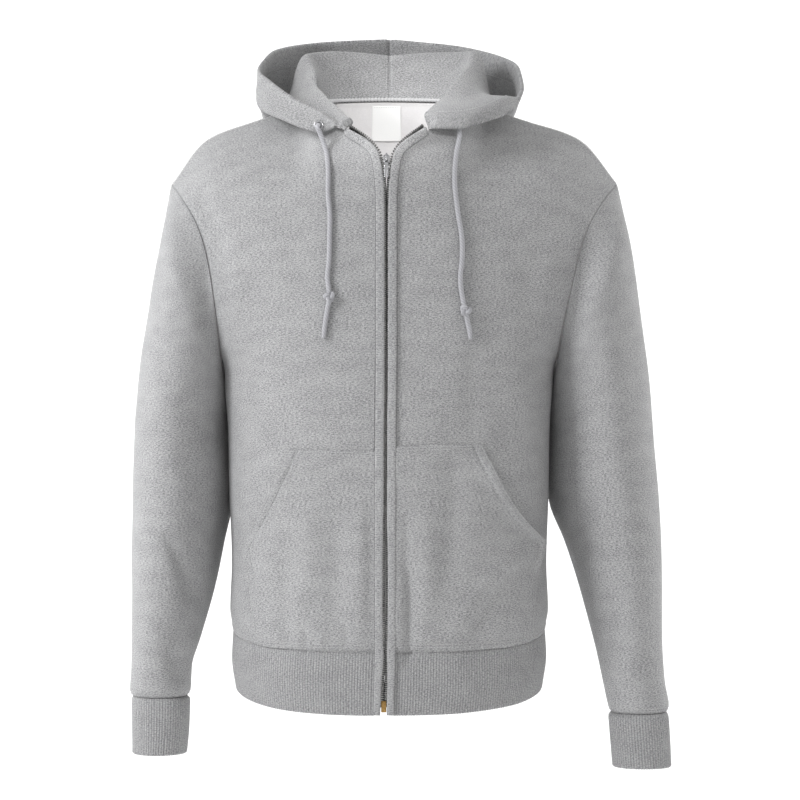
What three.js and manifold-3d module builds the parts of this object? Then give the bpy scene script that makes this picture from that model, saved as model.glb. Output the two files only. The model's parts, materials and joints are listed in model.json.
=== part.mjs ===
// Zip up hoodie, worn form with nobody inside.
// Millimetres. +Z up, the front faces -Y, +X is the wearer's left.
// The origin lies on the neck's centre line, level with the high shoulder points.
import * as THREE from 'three';
import { mergeVertices } from 'three/addons/utils/BufferGeometryUtils.js';
import Module from 'manifold-3d';

const wasm = await Module();
wasm.setup();

// Driving sizes
const fleece = 2.4;          // wall of the body and sleeves
const doubledRib = 3.4;      // wall of the hem band and cuffs
const hoodWall = 3.6;        // two plies
const pocketWall = 2.0;
const seamGap = 0.4;         // between two pieces that are sewn together
const layGap = 0.35;         // between a piece and the panel that it lies on
const underarmGap = 0.8;     // between a sleeve and the body where it folds back under the arm
const hemEdge = -690;        // nominal heights of the body's rows
const hemSeam = -616;
const underarm = -310;
const shoulderSeam = -10;
const rightArmholeShare = 0.955;   // the wearer's right shoulder sits a little narrower

// Sampling of the walls
const lowerRows = 7;
const armholeHeights = [-310, -272, -235, -198, -160, -125, -92, -65, -44, -26, -10];
const frontColumns = 10;
const backColumns = 2 * frontColumns;
const sleeveRows = 16;
const hemRows = 3;

const LEFT = 1;
const RIGHT = -1;
const sides = [['left', LEFT], ['right', RIGHT]];

// Sections round the body below the underarm: heights at the centre front, side seam and centre back,
// the half width, and the depths in front of and behind the side seams
const bodySections = [
  { at: hemEdge, front: -692, side: -669, back: -676, wide: 182, deepFront: 139, deepBack: 127 },
  { at: -655, front: -657, side: -638, back: -644, wide: 186, deepFront: 141, deepBack: 130 },
  { at: hemSeam, front: -622, side: -606, back: -610, wide: 184.5, deepFront: 140, deepBack: 129 },
  { at: -588, front: -592, side: -581, back: -584, wide: 188, deepFront: 144, deepBack: 132 },
  { at: -530, front: -532, side: -526, back: -528, wide: 186, deepFront: 144, deepBack: 131 },
  { at: -450, front: -450, side: -450, back: -450, wide: 188, deepFront: 144, deepBack: 130 },
  { at: -370, front: -370, side: -372, back: -370, wide: 190, deepFront: 145, deepBack: 129 },
  { at: underarm, front: -306, side: -313, back: -308, wide: 194, deepFront: 145, deepBack: 128 },
];
const sectionPower = 2 / 2.3;
const turnPower = 3;         // how closely a sleeve's turning back keeps to its inner side

// Sections of the front above the underarm, from the zip edge to the armhole seam
const columnPlaces = [0, 0.2, 0.4, 0.6, 0.8, 1];
const neckShare = 0.4;       // where the top row turns from the neck edge into the shoulder seam
const frontSections = [
  { at: -262, zip: [11, -144, -258], chest: [66, -141, -257], bust: [122, -126, -258],
    turn: [158, -107, -260], arm: [184, -84, -266], side: [199, -54, -274] },
  { at: -205, zip: [11, -141, -200], chest: [66, -138, -198], bust: [121, -125, -197],
    turn: [159, -110, -199], arm: [188, -95, -203], side: [211, -76, -209] },
  { at: -150, zip: [11, -135, -148], chest: [67, -131, -143], bust: [120, -117, -138],
    turn: [161, -104, -139], arm: [194, -90, -145], side: [224, -70, -157] },
  { at: -105, zip: [11.3, -128, -101], chest: [70, -119, -92], bust: [118, -99, -86],
    turn: [163, -86, -88], arm: [201, -74, -99], side: [238, -57, -123] },
  { at: -60, zip: [15.8, -119, -61], chest: [77, -99, -47], bust: [114, -56, -32],
    turn: [165, -48, -42], arm: [213, -43, -60], side: [255, -33, -98] },
  { at: shoulderSeam, zip: [50, -104, -27], chest: [86, -74, -11], bust: [109, 0, 12],
    turn: [165, 0, -5], arm: [226, 0, -27], side: [270, 0, -79] },
];

// Sections of the back above the underarm, from the centre back to the armhole seam
const backSections = [
  { at: -262, spine: [0, 128, -258], blade: [68, 125, -258], wing: [124, 111, -259],
    turn: [159, 94, -262], arm: [184, 72, -267], side: [199, 46, -274] },
  { at: -205, spine: [0, 127, -200], blade: [68, 124, -200], wing: [124, 112, -200],
    turn: [161, 98, -202], arm: [189, 82, -205], side: [211, 64, -209] },
  { at: -150, spine: [0, 123, -140], blade: [68, 120, -140], wing: [122, 108, -139],
    turn: [163, 93, -141], arm: [196, 77, -147], side: [224, 60, -157] },
  { at: -105, spine: [0, 117, -85], blade: [67, 113, -84], wing: [119, 94, -82],
    turn: [164, 76, -86], arm: [203, 62, -98], side: [238, 49, -123] },
  { at: -60, spine: [0, 108, -25], blade: [64, 100, -24], wing: [114, 62, -26],
    turn: [165, 44, -39], arm: [214, 37, -59], side: [255, 28, -98] },
  { at: shoulderSeam, spine: [0, 94, 28], blade: [62, 76, 25], wing: [109, 0, 12],
    turn: [165, 0, -5], arm: [226, 0, -27], side: [270, 0, -79] },
];

// How far the zip wanders from the centre line
const zipLine = [
  { at: hemEdge, x: -5.6 },
  { at: -600, x: -3.6 },
  { at: -450, x: -3.6 },
  { at: -250, x: -2.4 },
  { at: shoulderSeam, x: -2.4 },
];

// Rings round the sleeves: innermost and outermost points as distances from the centre line and heights,
// then the depths of the front and the back, and how far the inner side lies back behind the body
const leftSleeveRings = [
  { inX: 195.5, inZ: -323, outX: 284, outZ: -146, front: -92, back: 76, turn: 10 },
  { inX: 193.5, inZ: -342, outX: 297, outZ: -232, front: -93, back: 79, turn: 22 },
  { inX: 190.5, inZ: -374, outX: 308, outZ: -320, front: -89, back: 78, turn: 36 },
  { inX: 186.5, inZ: -420, outX: 314, outZ: -396, front: -85, back: 72, turn: 45 },
  { inX: 192.5, inZ: -460, outX: 318.5, outZ: -456, front: -83, back: 63, turn: 44 },
  { inX: 209.5, inZ: -504, outX: 321, outZ: -506, front: -80, back: 52, turn: 38 },
  { inX: 228, inZ: -562, outX: 321, outZ: -562, front: -75, back: 38, turn: 28 },
  { inX: 242.5, inZ: -620, outX: 321.5, outZ: -620, front: -68, back: 24, turn: 16 },
  { inX: 251.5, inZ: -665, outX: 324, outZ: -665, front: -61, back: 14, turn: 8 },
  { inX: 257, inZ: -692, outX: 329, outZ: -692, front: -57, back: 9, turn: 3 },
  { inX: 260, inZ: -702, outX: 327, outZ: -702, front: -54, back: 6, turn: 0 },
];
const leftCuffRings = [
  { inX: 260, inZ: -702, outX: 327, outZ: -702, front: -54, back: 6, turn: 0 },
  { inX: 258, inZ: -707, outX: 328.5, outZ: -707, front: -56, back: 7, turn: 0 },
  { inX: 260, inZ: -735, outX: 330.5, outZ: -735, front: -56, back: 6, turn: 0 },
  { inX: 262.5, inZ: -765, outX: 332, outZ: -765, front: -55, back: 5, turn: 0 },
];
const rightSleeveRings = [
  { inX: 195.5, inZ: -323, outX: 270, outZ: -150, front: -90, back: 74, turn: 10 },
  { inX: 193.5, inZ: -342, outX: 284, outZ: -233, front: -91, back: 78, turn: 22 },
  { inX: 190.5, inZ: -374, outX: 297, outZ: -320, front: -87, back: 78, turn: 36 },
  { inX: 186, inZ: -420, outX: 301, outZ: -396, front: -84, back: 73, turn: 45 },
  { inX: 188.5, inZ: -464, outX: 302.5, outZ: -458, front: -82, back: 65, turn: 45 },
  { inX: 197, inZ: -504, outX: 303, outZ: -506, front: -80, back: 55, turn: 40 },
  { inX: 208, inZ: -562, outX: 303, outZ: -562, front: -76, back: 42, turn: 30 },
  { inX: 222, inZ: -613, outX: 303, outZ: -613, front: -70, back: 29, turn: 18 },
  { inX: 232.5, inZ: -650, outX: 303, outZ: -650, front: -64, back: 19, turn: 9 },
  { inX: 233, inZ: -674, outX: 304, outZ: -674, front: -60, back: 13, turn: 3 },
  { inX: 236, inZ: -683, outX: 301.5, outZ: -683, front: -57, back: 10, turn: 0 },
];
const rightCuffRings = [
  { inX: 236, inZ: -683, outX: 301.5, outZ: -683, front: -57, back: 10, turn: 0 },
  { inX: 233.5, inZ: -688, outX: 302.5, outZ: -688, front: -59, back: 11, turn: 0 },
  { inX: 234.5, inZ: -718, outX: 302, outZ: -718, front: -59, back: 9, turn: 0 },
  { inX: 237.5, inZ: -749, outX: 301.5, outZ: -749, front: -58, back: 8, turn: 0 },
];

// Sections of the hood, from the zip's top (0) round to the centre back seam (1).
// Each runs from the neck seam over the inner fold, down the trough, round the belly and up to the rim.
const leftHoodSections = [
  { at: 0, fold: [43, -92, -9], trough: [49, -99, -6], belly: [56, -110, -13], rim: [54, -114, -25] },
  { at: 0.2, fold: [55, -70, 5], trough: [68, -82, 3], belly: [83, -106, -10], rim: [80, -112, -25] },
  { at: 0.35, fold: [67, -46, 21], trough: [92, -60, 12], belly: [113, -88, 0], rim: [112, -95, -15] },
  { at: 0.5, fold: [83, -6, 46], trough: [113, -24, 23], belly: [140, -46, 16], rim: [144, -54, 3] },
  { at: 0.62, fold: [96, 28, 62], trough: [124, 12, 18], belly: [150, 0, 18], rim: [158, -6, 34] },
  { at: 0.75, fold: [103, 62, 84], trough: [128, 58, 4], belly: [152, 62, 12], rim: [154, 56, 66] },
  { at: 0.88, fold: [58, 96, 86], trough: [80, 124, -20], belly: [102, 164, -22], rim: [96, 146, 100] },
  { at: 1, fold: [0, 110, 84], trough: [0, 138, -36], belly: [0, 190, -44], rim: [0, 184, 116] },
];
const rightHoodSections = [
  { at: 0, fold: [43, -94, -18], trough: [48, -101, -14], belly: [54, -109, -19], rim: [51, -113, -27] },
  { at: 0.2, fold: [60, -70, 2], trough: [71, -84, -7], belly: [80, -105, -28], rim: [76, -107, -9] },
  { at: 0.35, fold: [76, -46, 19], trough: [97, -64, 4], belly: [114, -88, -16], rim: [108, -90, 9] },
  { at: 0.5, fold: [87, -10, 36], trough: [118, -28, 15], belly: [142, -46, 0], rim: [139, -52, 35] },
  { at: 0.62, fold: [91, 26, 58], trough: [128, 8, 14], belly: [153, 0, 12], rim: [154, -4, 54] },
  { at: 0.75, fold: [101, 60, 80], trough: [128, 60, 2], belly: [152, 76, 6], rim: [143, 68, 84] },
  { at: 0.88, fold: [58, 96, 88], trough: [78, 124, -20], belly: [98, 172, -22], rim: [88, 158, 108] },
  { at: 1, fold: [0, 110, 84], trough: [0, 138, -36], belly: [0, 190, -44], rim: [0, 184, 116] },
];
const hoodPathPlaces = [0, 0.2, 0.45, 0.68, 1];
const hoodColumns = 15;
const hoodPathRows = 15;
const neckLift = 3.0;        // the hood's neck edge stands on the body's neck edge
const neckInset = 1.2;

// Smooth curve through table values that never swings past them
function monotone(places, values, at) {
  const last = places.length - 1;
  let i = 0;
  while (i < last - 1 && at > places[i + 1]) {
    i += 1;
  }
  const slopeOf = (k) => (values[k + 1] - values[k]) / (places[k + 1] - places[k]);
  const tangentAt = (k) => {
    if (k === 0) {
      return slopeOf(0);
    }
    if (k === last) {
      return slopeOf(last - 1);
    }
    const before = slopeOf(k - 1);
    const after = slopeOf(k);
    if (before * after <= 0) {
      return 0;
    }
    const spanBefore = places[k] - places[k - 1];
    const spanAfter = places[k + 1] - places[k];
    const weightBefore = 2 * spanAfter + spanBefore;
    const weightAfter = spanAfter + 2 * spanBefore;
    return (weightBefore + weightAfter) / (weightBefore / before + weightAfter / after);
  };
  return hermite(places, values, i, tangentAt(i), tangentAt(i + 1), at);
}

// Rounder curve through table values, for folds that turn back on themselves
function rounded(places, values, at) {
  const last = places.length - 1;
  let i = 0;
  while (i < last - 1 && at > places[i + 1]) {
    i += 1;
  }
  const tangentAt = (k) => {
    const a = Math.max(0, k - 1);
    const b = Math.min(last, k + 1);
    return (values[b] - values[a]) / (places[b] - places[a]);
  };
  return hermite(places, values, i, tangentAt(i), tangentAt(i + 1), at);
}

function hermite(places, values, i, tangentA, tangentB, at) {
  const span = places[i + 1] - places[i];
  const s = (at - places[i]) / span;
  const s2 = s * s;
  const s3 = s2 * s;
  return (2 * s3 - 3 * s2 + 1) * values[i] + (s3 - 2 * s2 + s) * span * tangentA
    + (3 * s2 - 2 * s3) * values[i + 1] + (s3 - s2) * span * tangentB;
}

// One point from a list of points, axis by axis
function throughPoints(curve, places, points, at) {
  const axis = (k) => curve(places, points.map((point) => point.getComponent(k)), at);
  return new THREE.Vector3(axis(0), axis(1), axis(2));
}

function zipCentre(at) {
  return monotone(zipLine.map((row) => row.at), zipLine.map((row) => row.x), at);
}

const zipEdgeReach = 11;     // from the zip's centre to the front panel's edge

// One point of a section below the underarm; share runs from the centre (0) to the side seam (1)
function lowerPoint(section, face, side, share) {
  const angle = share * Math.PI / 2;
  const across = Math.pow(Math.sin(angle), sectionPower);
  const along = Math.pow(Math.abs(Math.cos(angle)), sectionPower);
  const middle = face === 'front' ? section.front : section.back;
  const z = middle + (section.side - middle) * share * share;
  if (face === 'back') {
    return new THREE.Vector3(side * section.wide * across, section.deepBack * along, z);
  }
  const edge = zipEdgeReach + side * zipCentre(section.at);
  const x = edge + across * (section.wide - edge);
  return new THREE.Vector3(side * x, -section.deepFront * along, z);
}

// The right armhole sits closer in: from these heights and distances out the sections are narrowed
const narrowTo = { height: -150, from: 60, to: 220 };

// One point of a section above the underarm
function upperPoint(section, face, side, share) {
  const names = face === 'front'
    ? ['zip', 'chest', 'bust', 'turn', 'arm', 'side']
    : ['spine', 'blade', 'wing', 'turn', 'arm', 'side'];
  const narrow = side === RIGHT ? rightArmholeShare : 1;
  const narrowing = THREE.MathUtils.smoothstep(section.at, underarm, narrowTo.height);
  const points = names.map((name) => {
    const [x, y, z] = section[name];
    const outwardness = THREE.MathUtils.smoothstep(x, narrowTo.from, narrowTo.to);
    const keep = 1 - (1 - narrow) * narrowing * outwardness;
    return new THREE.Vector3(x * keep, y, z);
  });
  let places = columnPlaces;
  if (face === 'front') {
    points[0].x += side * zipCentre(section.at);
  } else {
    const mirrored = points.slice(1).reverse().map((p) => new THREE.Vector3(-p.x, p.y, p.z));
    points.unshift(...mirrored);
    places = [...columnPlaces.slice(1).reverse().map((place) => -place), ...columnPlaces];
  }
  if (section.at === shoulderSeam) {
    const neckPoint = places.indexOf(neckShare);
    const [from, to] = share < neckShare ? [0, neckPoint + 1] : [neckPoint, places.length];
    places = places.slice(from, to);
    points.splice(0, points.length, ...points.slice(from, to));
  }
  const point = throughPoints(monotone, places, points, share);
  point.x *= side;
  return point;
}

// One point on the outside of the front or back; at is the nominal height
function bodyPoint(face, side, share, at) {
  const upper = face === 'front' ? frontSections : backSections;
  const places = [...bodySections, ...upper].map((section) => section.at);
  const points = [
    ...bodySections.map((section) => lowerPoint(section, face, side, share)),
    ...upper.map((section) => upperPoint(section, face, side, share)),
  ];
  return throughPoints(monotone, places, points, at);
}

// Evenly spaced values from a to b
function spread(a, b, steps) {
  return Array.from({ length: steps + 1 }, (_, i) => a + (b - a) * i / steps);
}

const hemHeights = spread(hemEdge, hemSeam, hemRows);
const panelHeights = [...spread(hemSeam, underarm, lowerRows), ...armholeHeights.slice(1)];

// A grid of outside points, row by row; a wrapped grid closes round on itself
function grid(rows, wrapped = false) {
  return { rows, wrapped };
}

// Outward normals of a grid's points, before they are joined with its neighbours'
function gridNormals({ rows, wrapped }) {
  const normals = rows.map((row) => row.map(() => new THREE.Vector3()));
  const columns = rows[0].length;
  const lastColumn = wrapped ? columns : columns - 1;
  for (let i = 0; i + 1 < rows.length; i += 1) {
    for (let j = 0; j < lastColumn; j += 1) {
      const k = (j + 1) % columns;
      const across = rows[i + 1][k].clone().sub(rows[i][j]);
      const other = rows[i + 1][j].clone().sub(rows[i][k]);
      const normal = across.cross(other);
      for (const [r, c] of [[i, j], [i, k], [i + 1, j], [i + 1, k]]) {
        normals[r][c].add(normal);
      }
    }
  }
  return normals;
}

// Points closer than this many to the millimetre count as the same one
const keysPerMillimetre = 20;

function pointKey(point) {
  return point.toArray().map((value) => Math.round(value * keysPerMillimetre)).join(',');
}

// Panels that share seam points share their normals there too, so that their edges meet in a mitre
function joinNormals(grids) {
  const shared = new Map();
  const all = grids.map((one) => gridNormals(one));
  grids.forEach((one, g) => {
    one.rows.forEach((row, i) => row.forEach((point, j) => {
      const key = pointKey(point);
      const sum = shared.get(key) ?? new THREE.Vector3();
      sum.add(all[g][i][j].clone().normalize());
      shared.set(key, sum);
    }));
  });
  grids.forEach((one) => {
    one.normals = one.rows.map((row) => row.map(
      (point) => shared.get(pointKey(point)).clone().normalize()));
  });
}

// The grid moved along its normals, with its open edges drawn in by half of the seam's gap
function moved({ rows, normals, wrapped }, distance, pull = seamGap / 2) {
  const lastRow = rows.length - 1;
  const lastColumn = rows[0].length - 1;
  const shifted = rows.map((row, i) => row.map(
    (point, j) => point.clone().addScaledVector(normals[i][j], distance)));
  return shifted.map((row, i) => row.map((point, j) => {
    const target = point.clone();
    const inwardRow = i === 0 ? 1 : i === lastRow ? lastRow - 1 : i;
    const inwardColumn = wrapped ? j : j === 0 ? 1 : j === lastColumn ? lastColumn - 1 : j;
    if (inwardRow !== i) {
      target.add(shifted[inwardRow][j].clone().sub(point).setLength(pull));
    }
    if (inwardColumn !== j) {
      target.add(shifted[i][inwardColumn].clone().sub(point).setLength(pull));
    }
    return target;
  }));
}

// Closed wall between an outside grid and an inside grid of the same size
function wallGeometry(outside, inside, wrapped) {
  const rowCount = outside.length;
  const columns = outside[0].length;
  const positions = [...outside.flat(), ...inside.flat()].flatMap((point) => point.toArray());
  const outer = (i, j) => i * columns + (j % columns);
  const inner = (i, j) => rowCount * columns + outer(i, j);
  const index = [];
  const quad = (a, b, c, d) => index.push(a, b, c, a, c, d);
  const lastColumn = wrapped ? columns : columns - 1;
  for (let i = 0; i + 1 < rowCount; i += 1) {
    for (let j = 0; j < lastColumn; j += 1) {
      quad(outer(i, j), outer(i, j + 1), outer(i + 1, j + 1), outer(i + 1, j));
      quad(inner(i, j), inner(i + 1, j), inner(i + 1, j + 1), inner(i, j + 1));
    }
    if (!wrapped) {
      quad(outer(i, 0), outer(i + 1, 0), inner(i + 1, 0), inner(i, 0));
      quad(outer(i + 1, lastColumn), outer(i, lastColumn), inner(i, lastColumn), inner(i + 1, lastColumn));
    }
  }
  const top = rowCount - 1;
  for (let j = 0; j < lastColumn; j += 1) {
    quad(outer(0, j + 1), outer(0, j), inner(0, j), inner(0, j + 1));
    quad(outer(top, j), outer(top, j + 1), inner(top, j + 1), inner(top, j));
  }
  const geometry = new THREE.BufferGeometry();
  geometry.setAttribute('position', new THREE.Float32BufferAttribute(positions, 3));
  geometry.setIndex(index);
  return geometry;
}

function cloth(colour) {
  return new THREE.MeshStandardMaterial({ color: colour, roughness: 0.95, metalness: 0 });
}

function metal(colour) {
  return new THREE.MeshStandardMaterial({ color: colour, roughness: 0.3, metalness: 1 });
}

const marl = cloth(0x9c9c9f);
const ribMarl = cloth(0x8f8f92);
const hoodMarl = cloth(0x97979b);
const cordGrey = cloth(0xb0b0b2);
const tapeGrey = cloth(0x77777a);
const labelWhite = cloth(0xf1f1f0);
const nickel = metal(0xa9a9ab);
const brass = metal(0xb08d4a);

const hoodie = new THREE.Group();

function addPiece(name, geometry, material) {
  const mesh = new THREE.Mesh(geometry, material);
  mesh.name = name;
  hoodie.add(mesh);
  return mesh;
}

function addWall(name, one, wall, material) {
  addPiece(name, wallGeometry(moved(one, 0), moved(one, -wall), one.wrapped), material);
}

// Grids of the sewn panels. Rows run up, columns run towards +X in front and -X behind,
// so that every normal points out.
function frontGrid(side) {
  return grid(panelHeights.map((at) => {
    const row = spread(0, 1, frontColumns).map((share) => bodyPoint('front', side, share, at));
    return side === LEFT ? row : row.reverse();
  }));
}

function backGrid() {
  return grid(panelHeights.map((at) => spread(1, -1, backColumns).map(
    (share) => bodyPoint('back', share < 0 ? RIGHT : LEFT, Math.abs(share), at))));
}

function hemGrid() {
  return grid(hemHeights.map((at) => {
    const left = spread(0, 1, frontColumns).map((share) => bodyPoint('front', LEFT, share, at));
    const right = spread(0, 1, frontColumns).map((share) => bodyPoint('front', RIGHT, share, at)).reverse();
    const back = spread(1, -1, backColumns).map(
      (share) => bodyPoint('back', share < 0 ? RIGHT : LEFT, Math.abs(share), at));
    return [...left, ...back.slice(1), ...right.slice(1)];
  }));
}

// Points round a sleeve ring, from the underarm up the front, over the top and down the back
const ringCount = 2 * (armholeHeights.length - 1);

function ringPoints(ring, side) {
  const inner = new THREE.Vector3(ring.inX, 0, ring.inZ);
  const outer = new THREE.Vector3(ring.outX, 0, ring.outZ);
  const middle = inner.clone().add(outer).multiplyScalar(0.5);
  const reach = outer.clone().sub(inner).multiplyScalar(0.5);
  const centreY = (ring.front + ring.back) / 2;
  const depth = (ring.back - ring.front) / 2;
  return Array.from({ length: ringCount }, (_, j) => {
    const angle = j / ringCount * Math.PI * 2;
    const point = middle.clone().addScaledVector(reach, -Math.cos(angle));
    const nearness = (1 + Math.cos(angle)) / 2;
    point.y = centreY - depth * Math.sin(angle) + ring.turn * nearness ** turnPower;
    point.x *= side;
    return point;
  });
}

function armholePoints(side) {
  const front = armholeHeights.map((at) => bodyPoint('front', side, 1, at));
  const back = armholeHeights.map((at) => bodyPoint('back', side, 1, at)).reverse();
  return [...front, ...back.slice(1, -1)];
}

// The sleeve's own end of that seam, held off the body where it folds back against it under the arm
function sleeveHead(side) {
  return armholePoints(side).map((point, j) => {
    const folded = Math.min(j, ringCount - j) <= 1;
    return point.setX(point.x + (folded ? side * underarmGap : 0));
  });
}

// A sleeve or cuff through its rings; rows run up and columns turn so that the normals point out
function tubeGrid(rings, side, rowTotal, armhole) {
  const loops = rings.map((ring) => ringPoints(ring, side));
  if (armhole) {
    loops.unshift(armhole);
  }
  const places = loops.map((_, i) => i);
  const rows = spread(places.length - 1, 0, rowTotal).map((at) => Array.from(
    { length: ringCount }, (_, j) => throughPoints(monotone, places, loops.map((loop) => loop[j]), at)));
  return grid(side === LEFT ? rows : rows.map((row) => [...row].reverse()), true);
}

const fronts = { [LEFT]: frontGrid(LEFT), [RIGHT]: frontGrid(RIGHT) };
const back = backGrid();
const hem = hemGrid();
const sleeves = {
  [LEFT]: tubeGrid(leftSleeveRings, LEFT, sleeveRows, sleeveHead(LEFT)),
  [RIGHT]: tubeGrid(rightSleeveRings, RIGHT, sleeveRows, sleeveHead(RIGHT)),
};
const cuffs = {
  [LEFT]: tubeGrid(leftCuffRings, LEFT, 4),
  [RIGHT]: tubeGrid(rightCuffRings, RIGHT, 4),
};
joinNormals([
  fronts[LEFT], fronts[RIGHT], back, hem,
  sleeves[LEFT], sleeves[RIGHT], cuffs[LEFT], cuffs[RIGHT],
]);

addWall('front_left', fronts[LEFT], fleece, marl);
addWall('front_right', fronts[RIGHT], fleece, marl);
addWall('back', back, fleece, marl);
addWall('hem_rib', hem, doubledRib, ribMarl);
addWall('sleeve_left', sleeves[LEFT], fleece, marl);
addWall('sleeve_right', sleeves[RIGHT], fleece, marl);
addWall('cuff_left', cuffs[LEFT], doubledRib, ribMarl);
addWall('cuff_right', cuffs[RIGHT], doubledRib, ribMarl);

// Outward normal of the front or back
function bodyNormal(face, side, share, at) {
  const step = 0.01;
  const rise = 2;
  const shareA = Math.max(share - step, 0);
  const across = bodyPoint(face, side, share + step, at).sub(bodyPoint(face, side, shareA, at));
  const high = Math.min(at + rise, shoulderSeam);
  const up = bodyPoint(face, side, share, high).sub(bodyPoint(face, side, share, high - 2 * rise));
  const normal = across.cross(up).normalize();
  return normal.multiplyScalar(face === 'front' ? side : -side);
}

// The search for a place on the front: first share, tries, millimetres per share, part of the height kept
const search = { share: 0.3, tries: 25, across: 300, up: 0.8 };

// The front's outside at a distance across and a height, moved out
function onFront(x, z, distance) {
  const side = Math.sign(x);
  let share = search.share;
  let at = z;
  for (let i = 0; i < search.tries; i += 1) {
    const point = bodyPoint('front', side, share, at);
    share += (Math.abs(x) - Math.abs(point.x)) / search.across;
    at = Math.min(at + (z - point.z) * search.up, shoulderSeam);
  }
  const normal = bodyNormal('front', side, share, at);
  return bodyPoint('front', side, share, at).addScaledVector(normal, distance);
}

// Hood: a two-ply sheet that stands on the neck edge, folds out, and rises again to its rim
function neckEdge(side, place) {
  const onFrontHalf = place <= 0.5;
  const share = onFrontHalf ? place * 2 * neckShare : (1 - place) * 2 * neckShare;
  const point = bodyPoint(onFrontHalf ? 'front' : 'back', side, share, shoulderSeam);
  const inward = new THREE.Vector3(-point.x, -point.y, 0).setLength(neckInset);
  point.add(inward);
  point.z += neckLift;
  return point;
}

function hoodPoint(side, place, path) {
  const sections = side === LEFT ? leftHoodSections : rightHoodSections;
  const places = sections.map((section) => section.at);
  const control = ['fold', 'trough', 'belly', 'rim'].map((name) => {
    const points = sections.map((section) => new THREE.Vector3(...section[name]));
    return throughPoints(monotone, places, points, place);
  });
  control.forEach((point) => { point.x *= side; });
  control.unshift(neckEdge(side, place));
  return throughPoints(rounded, hoodPathPlaces, control, path);
}

// Rows follow the path from the neck to the rim, columns run round the neck; the outside is the right side
function hoodGrid(side) {
  const around = spread(0, 1, hoodColumns);
  return grid(spread(0, 1, hoodPathRows).map((path) => {
    const row = around.map((place) => hoodPoint(side, place, path));
    return side === LEFT ? row : row.reverse();
  }));
}

const hoods = { [LEFT]: hoodGrid(LEFT), [RIGHT]: hoodGrid(RIGHT) };
joinNormals([hoods[LEFT], hoods[RIGHT]]);
for (const [name, side] of sides) {
  const hood = hoods[side];
  const geometry = wallGeometry(moved(hood, hoodWall / 2), moved(hood, -hoodWall / 2), false);
  addPiece(`hood_${name}`, geometry, hoodMarl);
}

// Pockets: a patch on each front, cut from the panel's own form moved out, with a slanted mouth.
// Each corner is a distance across and a height; bulge bows the mouth.
const pocketOutlines = {
  [LEFT]: { mouthTop: [106, -386], mouthLow: [174, -499], hem: [162, -640], bow: [126, -452] },
  [RIGHT]: { mouthTop: [112, -392], mouthLow: [165, -506], hem: [147, -640], bow: [135, -448] },
};
const pocketTopDip = 2;      // the top edge falls a little towards the zip
const pocketRowTotal = 7;
const pocketLastShare = 0.9;
const cutterInner = -60;
const cutterLow = -720;
const cutterFront = -170;
const cutterDepth = 150;
const mouthSegments = 6;
const mergeDistance = 1e-3;

function solidOf(geometry) {
  const bare = geometry.clone();
  bare.deleteAttribute('normal');
  bare.deleteAttribute('uv');
  const merged = mergeVertices(bare, mergeDistance);
  return new wasm.Manifold(new wasm.Mesh({
    numProp: 3,
    vertProperties: new Float32Array(merged.getAttribute('position').array),
    triVerts: new Uint32Array(merged.index.array),
  }));
}

function geometryOf(solid) {
  const mesh = solid.getMesh();
  const geometry = new THREE.BufferGeometry();
  geometry.setAttribute('position', new THREE.Float32BufferAttribute(mesh.vertProperties, 3));
  geometry.setIndex([...mesh.triVerts]);
  return geometry;
}

function pocketCutter(side) {
  const { mouthTop, mouthLow, hem: low, bow } = pocketOutlines[side];
  const outline = new THREE.Shape();
  outline.moveTo(side * cutterInner, cutterLow);
  outline.lineTo(side * low[0], cutterLow);
  outline.lineTo(side * low[0], low[1]);
  outline.lineTo(side * mouthLow[0], mouthLow[1]);
  outline.quadraticCurveTo(side * bow[0], bow[1], side * mouthTop[0], mouthTop[1]);
  outline.lineTo(side * cutterInner, mouthTop[1] - pocketTopDip);
  const block = new THREE.ExtrudeGeometry(outline, {
    depth: cutterDepth,
    bevelEnabled: false,
    curveSegments: mouthSegments,
  });
  block.rotateX(Math.PI / 2);
  block.translate(0, cutterFront + cutterDepth, 0);
  return block;
}

function pocketSheet(side, distance) {
  return panelHeights.slice(0, pocketRowTotal).map((at) => {
    const row = spread(0, pocketLastShare, pocketLastShare * frontColumns).map((share) =>
      bodyPoint('front', side, share, at).addScaledVector(bodyNormal('front', side, share, at), distance));
    row[0].x += side * seamGap;
    return side === LEFT ? row : row.reverse();
  });
}

for (const [name, side] of sides) {
  const patch = wallGeometry(pocketSheet(side, layGap + pocketWall), pocketSheet(side, layGap), false);
  const cut = solidOf(patch).intersect(solidOf(pocketCutter(side)));
  addPiece(`pocket_${name}`, geometryOf(cut), marl);
}

// Label: a bare woven tab that hangs from the neck seam inside the back
const labelShares = [-0.066, 0, 0.044];
const labelHeights = [-54, -44, -26, -14];
const labelThick = 0.8;

// A point of the back's own facets, moved in
function insideBack(share, at, distance) {
  const i = panelHeights.findIndex((height) => height >= at) - 1;
  const rise = (at - panelHeights[i]) / (panelHeights[i + 1] - panelHeights[i]);
  const column = (1 - share) / 2 * backColumns;
  const j = Math.min(Math.floor(column), backColumns - 1);
  const mix = (table) => {
    const low = table[i][j].clone().lerp(table[i][j + 1], column - j);
    const high = table[i + 1][j].clone().lerp(table[i + 1][j + 1], column - j);
    return low.lerp(high, rise);
  };
  return mix(back.rows).addScaledVector(mix(back.normals).normalize(), -distance);
}

function labelSheet(distance) {
  return labelHeights.map((at) => labelShares.map((share) => insideBack(share, at, distance)));
}

const labelLay = fleece + 2 * layGap;
const labelShape = wallGeometry(labelSheet(labelLay + labelThick), labelSheet(labelLay), false);
addPiece('neck_label', labelShape, labelWhite);

// The zip's edge: frames up the front edge, each with its outward and centreward directions
const zipHeights = [...hemHeights, ...panelHeights.slice(1)];

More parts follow.
